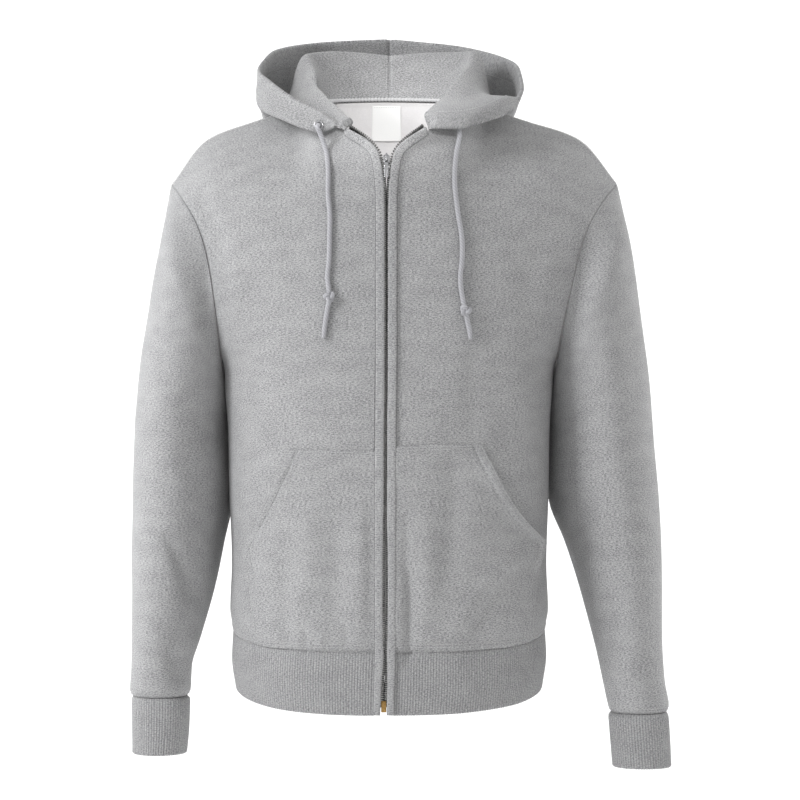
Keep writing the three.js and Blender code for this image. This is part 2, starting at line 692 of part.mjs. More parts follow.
function zipFrames(side, heights) {
  const edge = heights.map((at) => bodyPoint('front', side, 0, at));
  return heights.map((at, i) => {
    const before = edge[Math.max(i - 1, 0)];
    const after = edge[Math.min(i + 1, edge.length - 1)];
    const along = after.clone().sub(before).normalize();
    const out = bodyNormal('front', side, 0, at);
    const inward = out.clone().cross(along).normalize().multiplyScalar(side);
    const square = along.clone().cross(inward).normalize().multiplyScalar(side);
    return { point: edge[i], along, out: square, inward };
  });
}

// A convex section carried along the zip's edge; inward is towards the zip's centre, out is off the cloth
function edgeStrip(side, heights, section) {
  const rows = zipFrames(side, heights).map((frame) => section.map(([inward, out]) =>
    frame.point.clone().addScaledVector(frame.inward, inward).addScaledVector(frame.out, out)));
  if (side === RIGHT) {
    rows.forEach((row) => row.reverse());
  }
  return cappedGeometry(rows);
}

// A closed bar through loops of points that turn the same way, with a flat cap at each end
function cappedGeometry(rows) {
  const columns = rows[0].length;
  const positions = rows.flat().flatMap((point) => point.toArray());
  const index = [];
  for (let i = 0; i + 1 < rows.length; i += 1) {
    for (let j = 0; j < columns; j += 1) {
      const k = (j + 1) % columns;
      const low = i * columns;
      const high = low + columns;
      index.push(low + j, low + k, high + k, low + j, high + k, high + j);
    }
  }
  const top = (rows.length - 1) * columns;
  for (let j = 1; j + 1 < columns; j += 1) {
    index.push(0, j + 1, j, top, top + j, top + j + 1);
  }
  const geometry = new THREE.BufferGeometry();
  geometry.setAttribute('position', new THREE.Float32BufferAttribute(positions, 3));
  geometry.setIndex(index);
  return geometry;
}

// Section of a rounded bar from its edges: inward from a to b, out from c to d, with its corners cut
function barSection(a, b, c, d, corner) {
  return [
    [a + corner, c], [b - corner, c], [b, c + corner], [b, d - corner],
    [b - corner, d], [a + corner, d], [a, d - corner], [a, c + corner],
  ];
}

const placketReach = 9.2;
const placketLow = -0.2;
const placketHigh = 3.4;
const placketTopDrop = 3;
const tape = { from: -4, to: 7.8, back: -4.9, front: -4, corner: 0.2 };
const teeth = { from: 8.2, to: 10.7, back: -5.2, front: -2.4, corner: 0.3 };
const placketSection = barSection(seamGap, placketReach, placketLow, placketHigh, 1.2);
const tapeSection = barSection(tape.from, tape.to, tape.back, tape.front, tape.corner);
const teethSection = barSection(teeth.from, teeth.to, teeth.back, teeth.front, teeth.corner);
const placketHeights = zipHeights.slice(0, -1).concat(shoulderSeam - placketTopDrop);
const tapeHeights = placketHeights.slice(1);

for (const [name, side] of sides) {
  addPiece(`placket_${name}`, edgeStrip(side, placketHeights, placketSection), marl);
  addPiece(`zip_tape_${name}`, edgeStrip(side, tapeHeights, tapeSection), tapeGrey);
  addPiece(`zip_teeth_${name}`, edgeStrip(side, tapeHeights, teethSection), nickel);
}

// Slider, pull tab and bottom box: hard pieces on the closed zip, in a frame whose z runs up the zip
const zipStep = 3;

function zipPlace(at) {
  const [a, b] = sides.map(([, side]) => zipFrames(side, [at - zipStep, at, at + zipStep])[1]);
  const origin = a.point.clone().add(b.point).multiplyScalar(0.5);
  const up = a.along.clone().add(b.along).setComponent(0, 0).normalize();
  const out = new THREE.Vector3(1, 0, 0).cross(up).normalize();
  const group = new THREE.Group();
  group.position.copy(origin);
  group.quaternion.setFromRotationMatrix(
    new THREE.Matrix4().makeBasis(new THREE.Vector3(1, 0, 0), out.clone().negate(), up));
  hoodie.add(group);
  return group;
}

function block(wide, deep, tall, x, y, z) {
  return solidOf(new THREE.BoxGeometry(wide, deep, tall).translate(x, y, z));
}

// Share of a plate's width that each cut corner takes
const plateCorner = 0.3;

// A plate with the outline of a rounded bar and an optional hole, standing in the xz plane
function plate(width, low, high, thick, y, hole) {
  const corner = width * plateCorner;
  const outline = new THREE.Shape();
  outline.moveTo(-width / 2 + corner, low);
  outline.lineTo(width / 2 - corner, low);
  outline.lineTo(width / 2, low + corner);
  outline.lineTo(width / 2, high - corner);
  outline.lineTo(width / 2 - corner, high);
  outline.lineTo(-width / 2 + corner, high);
  outline.lineTo(-width / 2, high - corner);
  outline.lineTo(-width / 2, low + corner);
  if (hole) {
    const cut = new THREE.Path();
    cut.moveTo(-hole.half, hole.low);
    cut.lineTo(-hole.half, hole.high);
    cut.lineTo(hole.half, hole.high);
    cut.lineTo(hole.half, hole.low);
    outline.holes.push(cut);
  }
  const geometry = new THREE.ExtrudeGeometry(outline, { depth: thick, bevelEnabled: false });
  geometry.rotateX(Math.PI / 2);
  geometry.translate(0, y + thick / 2, 0);
  return geometry;
}

const sliderAt = -61;
const slider = {
  wide: 7.4, tall: 11.5, plate: 1.4, frontY: 0, backY: 6.4, postWide: 3, postTall: 3.4, postDrop: 1.9,
};
const bail = { wide: 2, halfTall: 4.6, wall: 1.3, outY: -7.2 };
const tab = { wide: 4.8, thick: 1.2, below: 23, above: 0.7, hingeY: -4.7, hingeZ: -2.2 };
const tabHole = { low: -3.7, high: -0.65, half: 1.5 };

const sliderFrame = zipPlace(sliderAt);

function sliderSolid() {
  const halfTall = slider.tall / 2;
  const front = solidOf(plate(slider.wide, -halfTall, halfTall, slider.plate, slider.frontY));
  const rear = solidOf(plate(slider.wide, -halfTall, halfTall, slider.plate, slider.backY));
  const postDeep = slider.backY - slider.frontY;
  const post = block(slider.postWide, postDeep, slider.postTall,
    0, (slider.frontY + slider.backY) / 2, halfTall - slider.postDrop);
  const loopDeep = slider.frontY - bail.outY;
  const loopMiddle = (slider.frontY + bail.outY) / 2;
  const loop = block(bail.wide, loopDeep, 2 * bail.halfTall, 0, loopMiddle, 0);
  const insideDeep = loopDeep - bail.wall - slider.plate / 2;
  const inside = block(2 * bail.wide, insideDeep, 2 * (bail.halfTall - bail.wall),
    0, loopMiddle + bail.wall / 2 - slider.plate / 4, 0);
  return front.add(rear).add(post).add(loop.subtract(inside));
}

const sliderMesh = addPiece('zip_slider', geometryOf(sliderSolid()), nickel);
sliderFrame.add(sliderMesh);

const tabShape = plate(tab.wide, -tab.below, tab.above, tab.thick, 0, tabHole);
const tabMesh = addPiece('pull_tab', tabShape, nickel);
tabMesh.position.set(0, tab.hingeY, tab.hingeZ);
sliderFrame.add(tabMesh);

const boxAt = -681;
const box = { wide: 6, deep: 4.4, tall: 13, y: 2.9 };
const boxMesh = addPiece('zip_box', new THREE.BoxGeometry(box.wide, box.deep, box.tall), brass);
boxMesh.position.set(0, box.y, 0);
zipPlace(boxAt).add(boxMesh);

// Eyelets: metal rings on the outside of the hood's casing
const eyelet = { inner: 3.7, outer: 6, thick: 1.3, bevel: 0.5, segments: 16 };
const eyeletPlaces = {
  [LEFT]: { place: 0.2, path: 0.87, gap: 1.6 },
  [RIGHT]: { place: 0.2, path: 0.82, gap: 0.8 },
};

function hoodNormal(side, place, path) {
  const step = 0.01;
  const across = hoodPoint(side, place + step, path).sub(hoodPoint(side, place - step, path));
  const up = hoodPoint(side, place, path + step).sub(hoodPoint(side, place, path - step));
  return across.cross(up).normalize().multiplyScalar(side);
}

function eyeletFrame(side) {
  const { place, path, gap } = eyeletPlaces[side];
  const out = hoodNormal(side, place, path);
  const centre = hoodPoint(side, place, path).addScaledVector(out, hoodWall / 2 + gap);
  return { centre, out };
}

for (const [name, side] of sides) {
  const { centre, out } = eyeletFrame(side);
  const { inner, outer, thick, bevel, segments } = eyelet;
  const profile = [[inner, 0], [outer, 0], [outer - bevel, thick], [inner, thick], [inner, 0]];
  const ring = new THREE.LatheGeometry(profile.map(([r, y]) => new THREE.Vector2(r, y)), segments);
  const mesh = addPiece(`eyelet_${name}`, ring, nickel);
  mesh.position.copy(centre);
  mesh.quaternion.setFromUnitVectors(new THREE.Vector3(0, 1, 0), out);
}

// Steps of the cord and tail tubes, and segments round and up a knot
const cordSteps = 22;
const tailSteps = 4;
const knotSegments = [12, 8];

// Drawcord: each end leaves its eyelet, lies down the chest, and carries a knot near its tip.
// A route row is a distance across and a height on the chest.
const cordRadius = 2.9;
const cordLift = cordRadius + 0.7;
const ringClearance = 0.5;
const bendReach = 1.6 * cordRadius;
const knotHalf = { x: 7, y: 5.4, z: 6.5 };
const knotLift = knotHalf.y + 0.7;
const cordRoutes = {
  [RIGHT]: {
    lead: [[-78, -112, -32]],
    chest: [
      [-70.5, -52], [-68, -76], [-68, -103], [-66, -127], [-66.3, -151], [-66.8, -178], [-68.5, -197],
    ],
    knot: [-66, -220],
    tail: [[-68.5, -234], [-70.7, -248], [-72.8, -266]],
  },
  [LEFT]: {
    lead: [[81, -103, -34]],
    chest: [
      [76, -56], [74.3, -88], [77.8, -123], [82.2, -152], [82.6, -175], [80.6, -198], [82.4, -218],
    ],
    knot: [85.5, -235],
    tail: [[88.5, -248], [90.6, -257], [91.7, -267]],
  },
};

function tubeAlong(points, steps) {
  const section = new THREE.Shape();
  const corners = 8;
  for (let i = 0; i < corners; i += 1) {
    const angle = i / corners * 2 * Math.PI;
    const [x, y] = [cordRadius * Math.cos(angle), cordRadius * Math.sin(angle)];
    if (i === 0) {
      section.moveTo(x, y);
    } else {
      section.lineTo(x, y);
    }
  }
  const path = new THREE.CatmullRomCurve3(points, false, 'centripetal');
  return new THREE.ExtrudeGeometry(section, { steps, extrudePath: path, bevelEnabled: false });
}

for (const [name, side] of sides) {
  const { lead, chest, knot, tail } = cordRoutes[side];
  const { centre, out } = eyeletFrame(side);
  const start = centre.clone();
  const throughRing = centre.clone().addScaledVector(out, eyelet.thick + ringClearance);
  const emerging = centre.clone().addScaledVector(out, eyelet.thick + bendReach);
  emerging.z -= cordRadius;
  const knotCentre = onFront(...knot, knotLift);
  const knotTop = knotCentre.clone().add(new THREE.Vector3(0, 0, knotHalf.z + layGap));
  const knotLow = knotCentre.clone().add(new THREE.Vector3(0, 0, -knotHalf.z - 2 * layGap));
  const upper = [
    start, throughRing, emerging, ...lead.map((point) => new THREE.Vector3(...point)),
    ...chest.map(([x, z]) => onFront(x, z, cordLift)), knotTop,
  ];
  const lower = [knotLow, ...tail.map(([x, z]) => onFront(x, z, cordLift))];
  addPiece(`cord_${name}`, tubeAlong(upper, cordSteps), cordGrey);
  addPiece(`tail_${name}`, tubeAlong(lower, tailSteps), cordGrey);
  const ball = new THREE.SphereGeometry(1, ...knotSegments).scale(knotHalf.x, knotHalf.y, knotHalf.z);
  addPiece(`knot_${name}`, ball, cordGrey).position.copy(knotCentre);
}

export default hoodie;
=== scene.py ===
"""Zip up hoodie in its worn form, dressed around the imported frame.

Tables and curves are in millimetres, as the part's own source has them; meshes are made in metres.
+Z is up, the front faces -Y and +X is the wearer's left.
"""

import json
import math

import bpy
import numpy as np
from bpy.props import FloatProperty, FloatVectorProperty
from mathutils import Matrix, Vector

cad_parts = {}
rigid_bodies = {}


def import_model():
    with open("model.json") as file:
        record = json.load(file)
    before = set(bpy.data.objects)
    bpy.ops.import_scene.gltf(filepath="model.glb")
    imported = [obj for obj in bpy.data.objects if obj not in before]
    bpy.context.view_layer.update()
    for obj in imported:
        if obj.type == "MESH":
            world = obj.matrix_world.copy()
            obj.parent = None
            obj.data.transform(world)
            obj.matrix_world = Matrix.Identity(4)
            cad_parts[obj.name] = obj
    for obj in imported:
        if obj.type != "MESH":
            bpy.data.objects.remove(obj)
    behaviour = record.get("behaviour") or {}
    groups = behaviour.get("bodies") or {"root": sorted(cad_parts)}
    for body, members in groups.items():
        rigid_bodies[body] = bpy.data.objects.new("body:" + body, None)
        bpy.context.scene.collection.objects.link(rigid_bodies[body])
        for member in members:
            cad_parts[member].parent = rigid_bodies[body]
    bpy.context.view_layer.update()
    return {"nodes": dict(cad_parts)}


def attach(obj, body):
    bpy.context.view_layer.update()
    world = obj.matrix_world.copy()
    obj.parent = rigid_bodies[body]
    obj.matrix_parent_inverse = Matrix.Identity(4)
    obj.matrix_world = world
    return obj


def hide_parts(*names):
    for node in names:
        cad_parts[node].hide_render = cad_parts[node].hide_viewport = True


for leftover in list(bpy.data.objects):
    bpy.data.objects.remove(leftover)
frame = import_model()

bl_info = {
    "name": "Zip Up Hoodie",
    "version": (1, 0, 0),
    "blender": (4, 5, 0),
    "location": "View3D > Sidebar > Hoodie",
    "description": "Builds a heather grey zip up hoodie around its packed frame",
    "category": "Object",
}

LEFT, RIGHT = 1, -1
SIDES = (("left", LEFT), ("right", RIGHT))
MM = 0.001

# Walls and gaps
FLEECE, DOUBLED_RIB, HOOD_WALL, POCKET_WALL = 2.4, 3.4, 3.6, 2.0
LAY_GAP = 0.35
SEAM_PULL = 0.15

# Nominal heights of the body's rows
HEM_EDGE, HEM_SEAM, UNDERARM, SHOULDER_SEAM = -690.0, -616.0, -310.0, -10.0
ARMHOLE_HEIGHTS = np.array([-310, -272, -235, -198, -160, -125, -92, -65, -44, -26, -10.0])
RIGHT_ARMHOLE_SHARE = 0.955
NECK_SHARE = 0.4
ZIP_EDGE_REACH = 11.0
SECTION_POWER = 2 / 2.3
TURN_POWER = 3
UNDERARM_GAP = 0.3
NECK_LIFT, NECK_INSET = 3.0, 1.2

# Sections round the body below the underarm
# at, front, side, back, wide, deep front, deep back
BODY_SECTIONS = np.array([
    [-690, -692, -669, -676, 182, 139, 127],
    [-655, -657, -638, -644, 186, 141, 130],
    [-616, -622, -606, -610, 184.5, 140, 129],
    [-588, -592, -581, -584, 188, 144, 132],
    [-530, -532, -526, -528, 186, 144, 131],
    [-450, -450, -450, -450, 188, 144, 130],
    [-370, -370, -372, -370, 190, 145, 129],
    [-310, -306, -313, -308, 194, 145, 128],
])

# Sections above the underarm: at, then six points from the centre to the armhole
UPPER_PLACES = np.array([0, 0.2, 0.4, 0.6, 0.8, 1.0])
UPPER_HEIGHTS = np.array([-262, -205, -150, -105, -60, -10.0])
FRONT_SECTIONS = np.array([
    [[11, -144, -258], [66, -141, -257], [122, -126, -258],
     [158, -107, -260], [184, -84, -266], [199, -54, -274]],
    [[11, -141, -200], [66, -138, -198], [121, -125, -197],
     [159, -110, -199], [188, -95, -203], [211, -76, -209]],
    [[11, -135, -148], [67, -131, -143], [120, -117, -138],
     [161, -104, -139], [194, -90, -145], [224, -70, -157]],
    [[11.3, -128, -101], [70, -119, -92], [118, -99, -86],
     [163, -86, -88], [201, -74, -99], [238, -57, -123]],
    [[15.8, -119, -61], [77, -99, -47], [114, -56, -32],
     [165, -48, -42], [213, -43, -60], [255, -33, -98]],
    [[50, -104, -27], [86, -74, -11], [109, 0, 12],
     [165, 0, -5], [226, 0, -27], [270, 0, -79]],
])
BACK_SECTIONS = np.array([
    [[0, 128, -258], [68, 125, -258], [124, 111, -259],
     [159, 94, -262], [184, 72, -267], [199, 46, -274]],
    [[0, 127, -200], [68, 124, -200], [124, 112, -200],
     [161, 98, -202], [189, 82, -205], [211, 64, -209]],
    [[0, 123, -140], [68, 120, -140], [122, 108, -139],
     [163, 93, -141], [196, 77, -147], [224, 60, -157]],
    [[0, 117, -85], [67, 113, -84], [119, 94, -82],
     [164, 76, -86], [203, 62, -98], [238, 49, -123]],
    [[0, 108, -25], [64, 100, -24], [114, 62, -26],
     [165, 44, -39], [214, 37, -59], [255, 28, -98]],
    [[0, 94, 28], [62, 76, 25], [109, 0, 12],
     [165, 0, -5], [226, 0, -27], [270, 0, -79]],
])

# How far the zip wanders from the centre line: at, x
ZIP_LINE = np.array([[-690, -5.6], [-600, -3.6], [-450, -3.6], [-250, -2.4], [-10, -2.4]])

# Rings round the sleeves and cuffs: inner x, inner z, outer x, outer z, front, back, turn,
# which is how far the inner side lies back
SLEEVE_RINGS = {
    LEFT: np.array([
        [191.5, -323, 284, -146, -92, 76, 10], [190, -342, 297, -232, -93, 79, 22],
        [188.5, -374, 308, -320, -89, 78, 36], [186.5, -420, 314, -396, -85, 72, 45],
        [192.5, -460, 318.5, -456, -83, 63, 44], [209.5, -504, 321, -506, -80, 52, 38],
        [228, -562, 321, -562, -75, 38, 28], [242.5, -620, 321.5, -620, -68, 24, 16],
        [251.5, -665, 324, -665, -61, 14, 8], [257, -692, 329, -692, -57, 9, 3],
        [260, -702, 327, -702, -54, 6, 0],
    ]),
    RIGHT: np.array([
        [191.5, -323, 270, -150, -90, 74, 10], [190.5, -342, 284, -233, -91, 78, 22],
        [190.5, -374, 297, -320, -87, 78, 36], [186, -420, 301, -396, -84, 73, 45],
        [188.5, -464, 302.5, -458, -82, 65, 45], [197, -504, 303, -506, -80, 55, 40],
        [208, -562, 303, -562, -76, 42, 30], [222, -613, 303, -613, -70, 29, 18],
        [232.5, -650, 303, -650, -64, 19, 9], [233, -674, 304, -674, -60, 13, 3],
        [236, -683, 301.5, -683, -57, 10, 0],
    ]),
}
CUFF_RINGS = {
    LEFT: np.array([
        [260, -702, 327, -702, -54, 6, 0], [258, -707, 328.5, -707, -56, 7, 0],
        [260, -735, 330.5, -735, -56, 6, 0], [262.5, -765, 332, -765, -55, 5, 0],
    ]),
    RIGHT: np.array([
        [236, -683, 301.5, -683, -57, 10, 0], [233.5, -688, 302.5, -688, -59, 11, 0],
        [234.5, -718, 302, -718, -59, 9, 0], [237.5, -749, 301.5, -749, -58, 8, 0],
    ]),
}

# How open the hood's front ends stay: outside, inside, the middle between them
HOOD_END_OPENING = (0.4, 0.0, 0.2)
# Painted shade: the hood's cloth is coloured a little darker than the body's, standing in for shade on the
# hood
HOOD_PAINTED_SHADE = 0.85

# Sections of the hood from the zip's top round to the centre back: fold, trough, belly, rim
HOOD_PLACES = np.array([0, 0.2, 0.35, 0.5, 0.62, 0.75, 0.88, 1.0])
HOOD_PATH = np.array([0, 0.2, 0.45, 0.68, 1.0])
HOOD_SECTIONS = {
    LEFT: np.array([
        [[43, -92, -9], [49, -99, -6], [56, -110, -13], [54, -114, -25]],
        [[55, -70, 5], [68, -82, 3], [83, -106, -10], [80, -112, -25]],
        [[67, -46, 21], [92, -60, 12], [113, -88, 0], [112, -95, -15]],
        [[83, -6, 46], [113, -24, 23], [140, -46, 16], [144, -54, 3]],
        [[96, 28, 62], [124, 12, 18], [150, 0, 18], [158, -6, 34]],
        [[103, 62, 84], [128, 58, 4], [152, 62, 12], [154, 56, 66]],
        [[58, 96, 86], [80, 124, -20], [102, 164, -22], [96, 146, 100]],
        [[0, 110, 84], [0, 138, -36], [0, 190, -44], [0, 184, 116]],
    ]),
    RIGHT: np.array([
        [[43, -94, -18], [48, -101, -14], [54, -109, -19], [51, -113, -27]],
        [[60, -70, 2], [71, -84, -7], [80, -105, -28], [76, -107, -9]],
        [[76, -46, 19], [97, -64, 4], [114, -88, -16], [108, -90, 9]],
        [[87, -10, 36], [118, -28, 15], [142, -46, 0], [139, -52, 35]],
        [[91, 26, 58], [128, 8, 14], [153, 0, 12], [154, -4, 54]],
        [[101, 60, 80], [128, 60, 2], [152, 76, 6], [143, 68, 84]],
        [[58, 96, 88], [78, 124, -20], [98, 172, -22], [88, 158, 108]],
        [[0, 110, 84], [0, 138, -36], [0, 190, -44], [0, 184, 116]],
    ]),
}

# Soft folds that the hang of the cloth makes, seen from the front (-1) or from behind (1):
# from x, z, to x, z, how far the middle bows to the right, half width, height, face
FOLDS = np.array([
    [-30, -432, -31, -622, 0, 14, 2.6, -1],
    [-61, -455, -63, -618, 3, 13, -2.4, -1],
    [-90, -450, -86, -568, -3, 13, 1.8, -1],
    [-120, -507, -119, -618, 3, 11, -2.4, -1],
    [-93, -590, -95, -622, 0, 5, -1.5, -1],
    [-113, -600, -115, -624, 0, 6, -1.4, -1],
    [-47, -585, -49, -618, 0, 6, -1.6, -1],
    [-75, -596, -77, -622, 0, 5, 1.2, -1],
    [17, -455, 15, -648, 0, 8, -3.4, -1],
    [27, -520, 22, -640, 0, 8, -4.0, -1],
    [41, -450, 43, -590, 2, 12, 2.4, -1],
    [73, -385, 62, -566, 6, 15, -2.8, -1],
    [166, -495, 66, -608, -8, 11, 3.0, -1],
    [140, -526, 92, -618, -5, 11, -2.6, -1],
    [141, -228, 146, -440, 4, 18, 3.2, -1],
    [99, -262, 98, -396, -3, 13, -2.2, -1],
    [209, -120, 172, -236, -5, 13, 2.6, -1],
    [-222, -96, -184, -190, 6, 11, -2.6, -1],
    [-206, -120, -168, -240, 6, 12, 1.6, -1],
    [-163, -290, -168, -400, 3, 13, -1.4, -1],
    [-262, -488, -230, -572, 8, 9, -4.2, -1],
    [-219, -492, -212, -560, 4, 8, 2.6, -1],
    [-256, -628, -242, -668, 3, 8, -2.2, -1],
    [-286, -560, -270, -640, 3, 12, 1.2, -1],
    [247, -435, 246, -645, -6, 12, 1.8, -1],
    [262, -545, 254, -618, 3, 10, -1.8, -1],
    [282, -600, 272, -680, 3, 11, 1.4, -1],
    [225, -330, 240, -440, 6, 14, -1.6, -1],
    [-238, -320, -226, -440, -4, 14, -1.4, -1],
    [-60, -420, -64, -612, 4, 15, -2.2, 1],
    [-22, -400, -25, -610, -3, 14, 2.0, 1],
    [38, -430, 33, -615, 4, 14, -2.4, 1],
    [92, -410, 98, -612, -4, 15, 2.0, 1],
    [-118, -440, -112, -616, 3, 13, 2.2, 1],
    [130, -500, 126, -618, 2, 11, -2.0, 1],
    [184, -190, 128, -330, -10, 15, 3.0, 1],
    [-182, -196, -120, -340, 10, 15, 2.8, 1],
    [150, -210, 100, -300, -8, 13, -2.0, 1],
    [-206, -120, -160, -230, 6, 12, -2.2, 1],
    [-258, -470, -236, -560, 6, 10, -3.4, 1],
    [246, -450, 270, -540, -6, 11, -3.2, 1],
    [268, -560, 262, -650, -3, 10, 2.0, 1],
    [-270, -580, -262, -660, 3, 10, 1.8, 1],
])

FOLD_STRENGTH = 1.3

# Lengths of the cloth's slow waves
WAVES = (60, 85, 120, 170)
HOOD_WAVES = (48, 66, 90, 130)

# Pocket outlines: distance across and height of each corner
POCKETS = {
    LEFT: {"top": (106, -386), "low": (174, -499), "hem": (162, -640), "bow": (126, -452)},
    RIGHT: {"top": (112, -392), "low": (165, -506), "hem": (147, -640), "bow": (135, -448)},
}
POCKET_TOP_DIP = 2.0
# How far each pocket's mouth stands off the front, and how wide that lift is
MOUTH_LIFT = {LEFT: 8.5, RIGHT: 3.5}
MOUTH_WIDTH = 13.0

# Drawcord routes over the chest: distance across and height
CORD_RADIUS = 2.9
CORD_ROUTES = {
    RIGHT: {
        "lead": [[-78, -112, -32]],
        "chest": [[-70.5, -52], [-68, -76], [-68, -103], [-66, -127], [-66.3, -151], [-66.8, -178],
                  [-68.5, -197]],
        "knot": [-66, -220],
        "tail": [[-68.5, -234], [-70.7, -248], [-72.8, -266]],
    },
    LEFT: {
        "lead": [[81, -103, -34]],
        "chest": [[76, -56], [74.3, -88], [77.8, -123], [82.2, -152], [82.6, -175], [80.6, -198],
                  [82.4, -218]],
        "knot": [85.5, -235],
        "tail": [[88.5, -248], [90.6, -257], [91.7, -267]],
    },
}
KNOT_HALF = np.array([7, 5.4, 6.5])
EYELET = {"inner": 3.7, "outer": 6.0, "thick": 1.3}
EYELET_PLACES = {LEFT: (0.2, 0.87, 1.6), RIGHT: (0.2, 0.82, 0.8)}


# Curves through tables

def span_of(places, at):
    """Which span each value falls in, and how far along it."""
    i = np.clip(np.searchsorted(places, at, side="left") - 1, 0, len(places) - 2)
    width = places[i + 1] - places[i]
    return i, width, (at - places[i]) / width


def hermite(places, values, tangents, at):
    """values and tangents are (K, N, ...), at is (N,)."""
    i, width, s = span_of(places, at)
    n = np.arange(len(at))
    extra = (1,) * (values.ndim - 2)
    s, width = s.reshape(-1, *extra), width.reshape(-1, *extra)
    s2, s3 = s * s, s * s * s
    return ((2 * s3 - 3 * s2 + 1) * values[i, n] + (s3 - 2 * s2 + s) * width * tangents[i, n]
            + (3 * s2 - 2 * s3) * values[i + 1, n] + (s3 - s2) * width * tangents[i + 1, n])


def monotone(places, values, at):
    """Smooth curve through table values that never swings past them."""
    places = np.asarray(places, float)
    step = np.diff(places).reshape(-1, *(1,) * (values.ndim - 1))
    slope = np.diff(values, axis=0) / step
    before, after = slope[:-1], slope[1:]
    wide_before, wide_after = step[:-1], step[1:]
    a, b = 2 * wide_after + wide_before, wide_after + 2 * wide_before
    same = before * after > 0
    safe_before, safe_after = np.where(same, before, 1), np.where(same, after, 1)
    inner = np.where(same, (a + b) / (a / safe_before + b / safe_after), 0)
    tangents = np.concatenate([slope[:1], inner, slope[-1:]])
    return hermite(places, values, tangents, at)


def rounded(places, values, at):
    """Rounder curve through table values, for folds that turn back on themselves."""
    places = np.asarray(places, float)
    low = np.maximum(np.arange(len(places)) - 1, 0)
    high = np.minimum(np.arange(len(places)) + 1, len(places) - 1)
    step = (places[high] - places[low]).reshape(-1, *(1,) * (values.ndim - 1))
    return hermite(places, values, (values[high] - values[low]) / step, at)


def along_one(curve, places, values, at):
    """A curve whose table is the same for every value of at."""
    at = np.atleast_1d(np.asarray(at, float))
    values = np.asarray(values, float)
    repeated = np.broadcast_to(values[:, None], (len(values), len(at)) + values.shape[1:])
    return curve(places, repeated, at)


def smoothstep(x, low, high):
    """A soft step from 0 at low to 1 at high."""
    t = np.clip((x - low) / (high - low), 0, 1)
    return t * t * (3 - 2 * t)


def unit(v):
    return v / np.maximum(np.linalg.norm(v, axis=-1, keepdims=True), 1e-12)


# The body's surface

def zip_centre(at):
    return along_one(monotone, ZIP_LINE[:, 0], ZIP_LINE[:, 1], at)


def lower_points(face, side, share):
    """Points of the eight lower sections at each share: (8, N, 3)."""
    rows = BODY_SECTIONS[:, :, None]
    angle = share * math.pi / 2
    across = np.sin(angle) ** SECTION_POWER
    along = np.abs(np.cos(angle)) ** SECTION_POWER
    middle = rows[:, 1] if face == "front" else rows[:, 3]
    z = middle + (rows[:, 2] - middle) * share ** 2
    if face == "back":
        return np.stack([side * rows[:, 4] * across, rows[:, 6] * along, z], axis=-1)
    edge = ZIP_EDGE_REACH + side * zip_centre(BODY_SECTIONS[:, 0])[:, None]
    x = edge + across * (rows[:, 4] - edge)
    return np.stack([side * x, -rows[:, 5] * along, z], axis=-1)


def upper_points(face, side, share):
    """Points of the six upper sections at each share: (6, N, 3)."""
    table = (FRONT_SECTIONS if face == "front" else BACK_SECTIONS).astype(float)
    narrow = RIGHT_ARMHOLE_SHARE if side == RIGHT else 1
    rising = smoothstep(UPPER_HEIGHTS, UNDERARM, -150)[:, None]
    table[:, :, 0] *= 1 - (1 - narrow) * rising * smoothstep(table[:, :, 0], 60, 220)
    places = UPPER_PLACES
    if face == "front":
        table[:, 0, 0] += side * zip_centre(UPPER_HEIGHTS)
    else:
        table = np.concatenate([table[:, :0:-1] * [-1, 1, 1], table], axis=1)
        places = np.concatenate([-places[:0:-1], places])
    out = []
    for at, row in zip(UPPER_HEIGHTS, table):
        if at == SHOULDER_SEAM:
            turn = int(np.argmin(np.abs(places - NECK_SHARE)))
            inner = along_one(monotone, places[:turn + 1], row[:turn + 1], share)
            outer = along_one(monotone, places[turn:], row[turn:], share)
            points = np.where((share < NECK_SHARE)[:, None], inner, outer)
        else:
            points = along_one(monotone, places, row, share)
        out.append(points * [side, 1, 1])
    return np.array(out)


BODY_HEIGHTS = np.concatenate([BODY_SECTIONS[:, 0], UPPER_HEIGHTS])


def body_points(face, side, share, at):
    """Points on the outside of the front or back; share and at have the same shape."""
    share, at = np.broadcast_arrays(np.asarray(share, float), np.asarray(at, float))
    flat = share.ravel()
    table = np.concatenate([lower_points(face, side, flat), upper_points(face, side, flat)])
    return monotone(BODY_HEIGHTS, table, at.ravel()).reshape(*share.shape, 3)


def body_normals(face, side, share, at):
    """Outward normals of the front or back."""
    share, at = np.broadcast_arrays(np.asarray(share, float), np.asarray(at, float))
    step, rise = 0.01, 2.0
    low = np.maximum(share - step, 0)
    across = body_points(face, side, share + step, at) - body_points(face, side, low, at)
    high = np.minimum(at + rise, SHOULDER_SEAM)
    up = body_points(face, side, share, high) - body_points(face, side, share, high - 2 * rise)
    return unit(np.cross(across, up)) * (side if face == "front" else -side)


def front_place(x, z):
    """The share and nominal height of the front's points at distances across and heights."""
    x, z = np.broadcast_arrays(np.asarray(x, float), np.asarray(z, float))
    side = LEFT if np.mean(x) > 0 else RIGHT
    share, at = np.full(x.shape, 0.3), z.copy()
    for _ in range(25):
        p = body_points("front", side, share, at)
        share = np.clip(share + (np.abs(x) - np.abs(p[..., 0])) / 300, 0, 1)
        at = np.clip(at + (z - p[..., 2]) * 0.8, HEM_EDGE, SHOULDER_SEAM)
    return side, share, at


# Cloth panels as grids of outside points

def grid_normals(points, wrapped=False):
    if wrapped:
        across = np.roll(points, -1, axis=1) - np.roll(points, 1, axis=1)
    else:
        across = np.gradient(points, axis=1)
    return unit(np.cross(across, np.gradient(points, axis=0)))


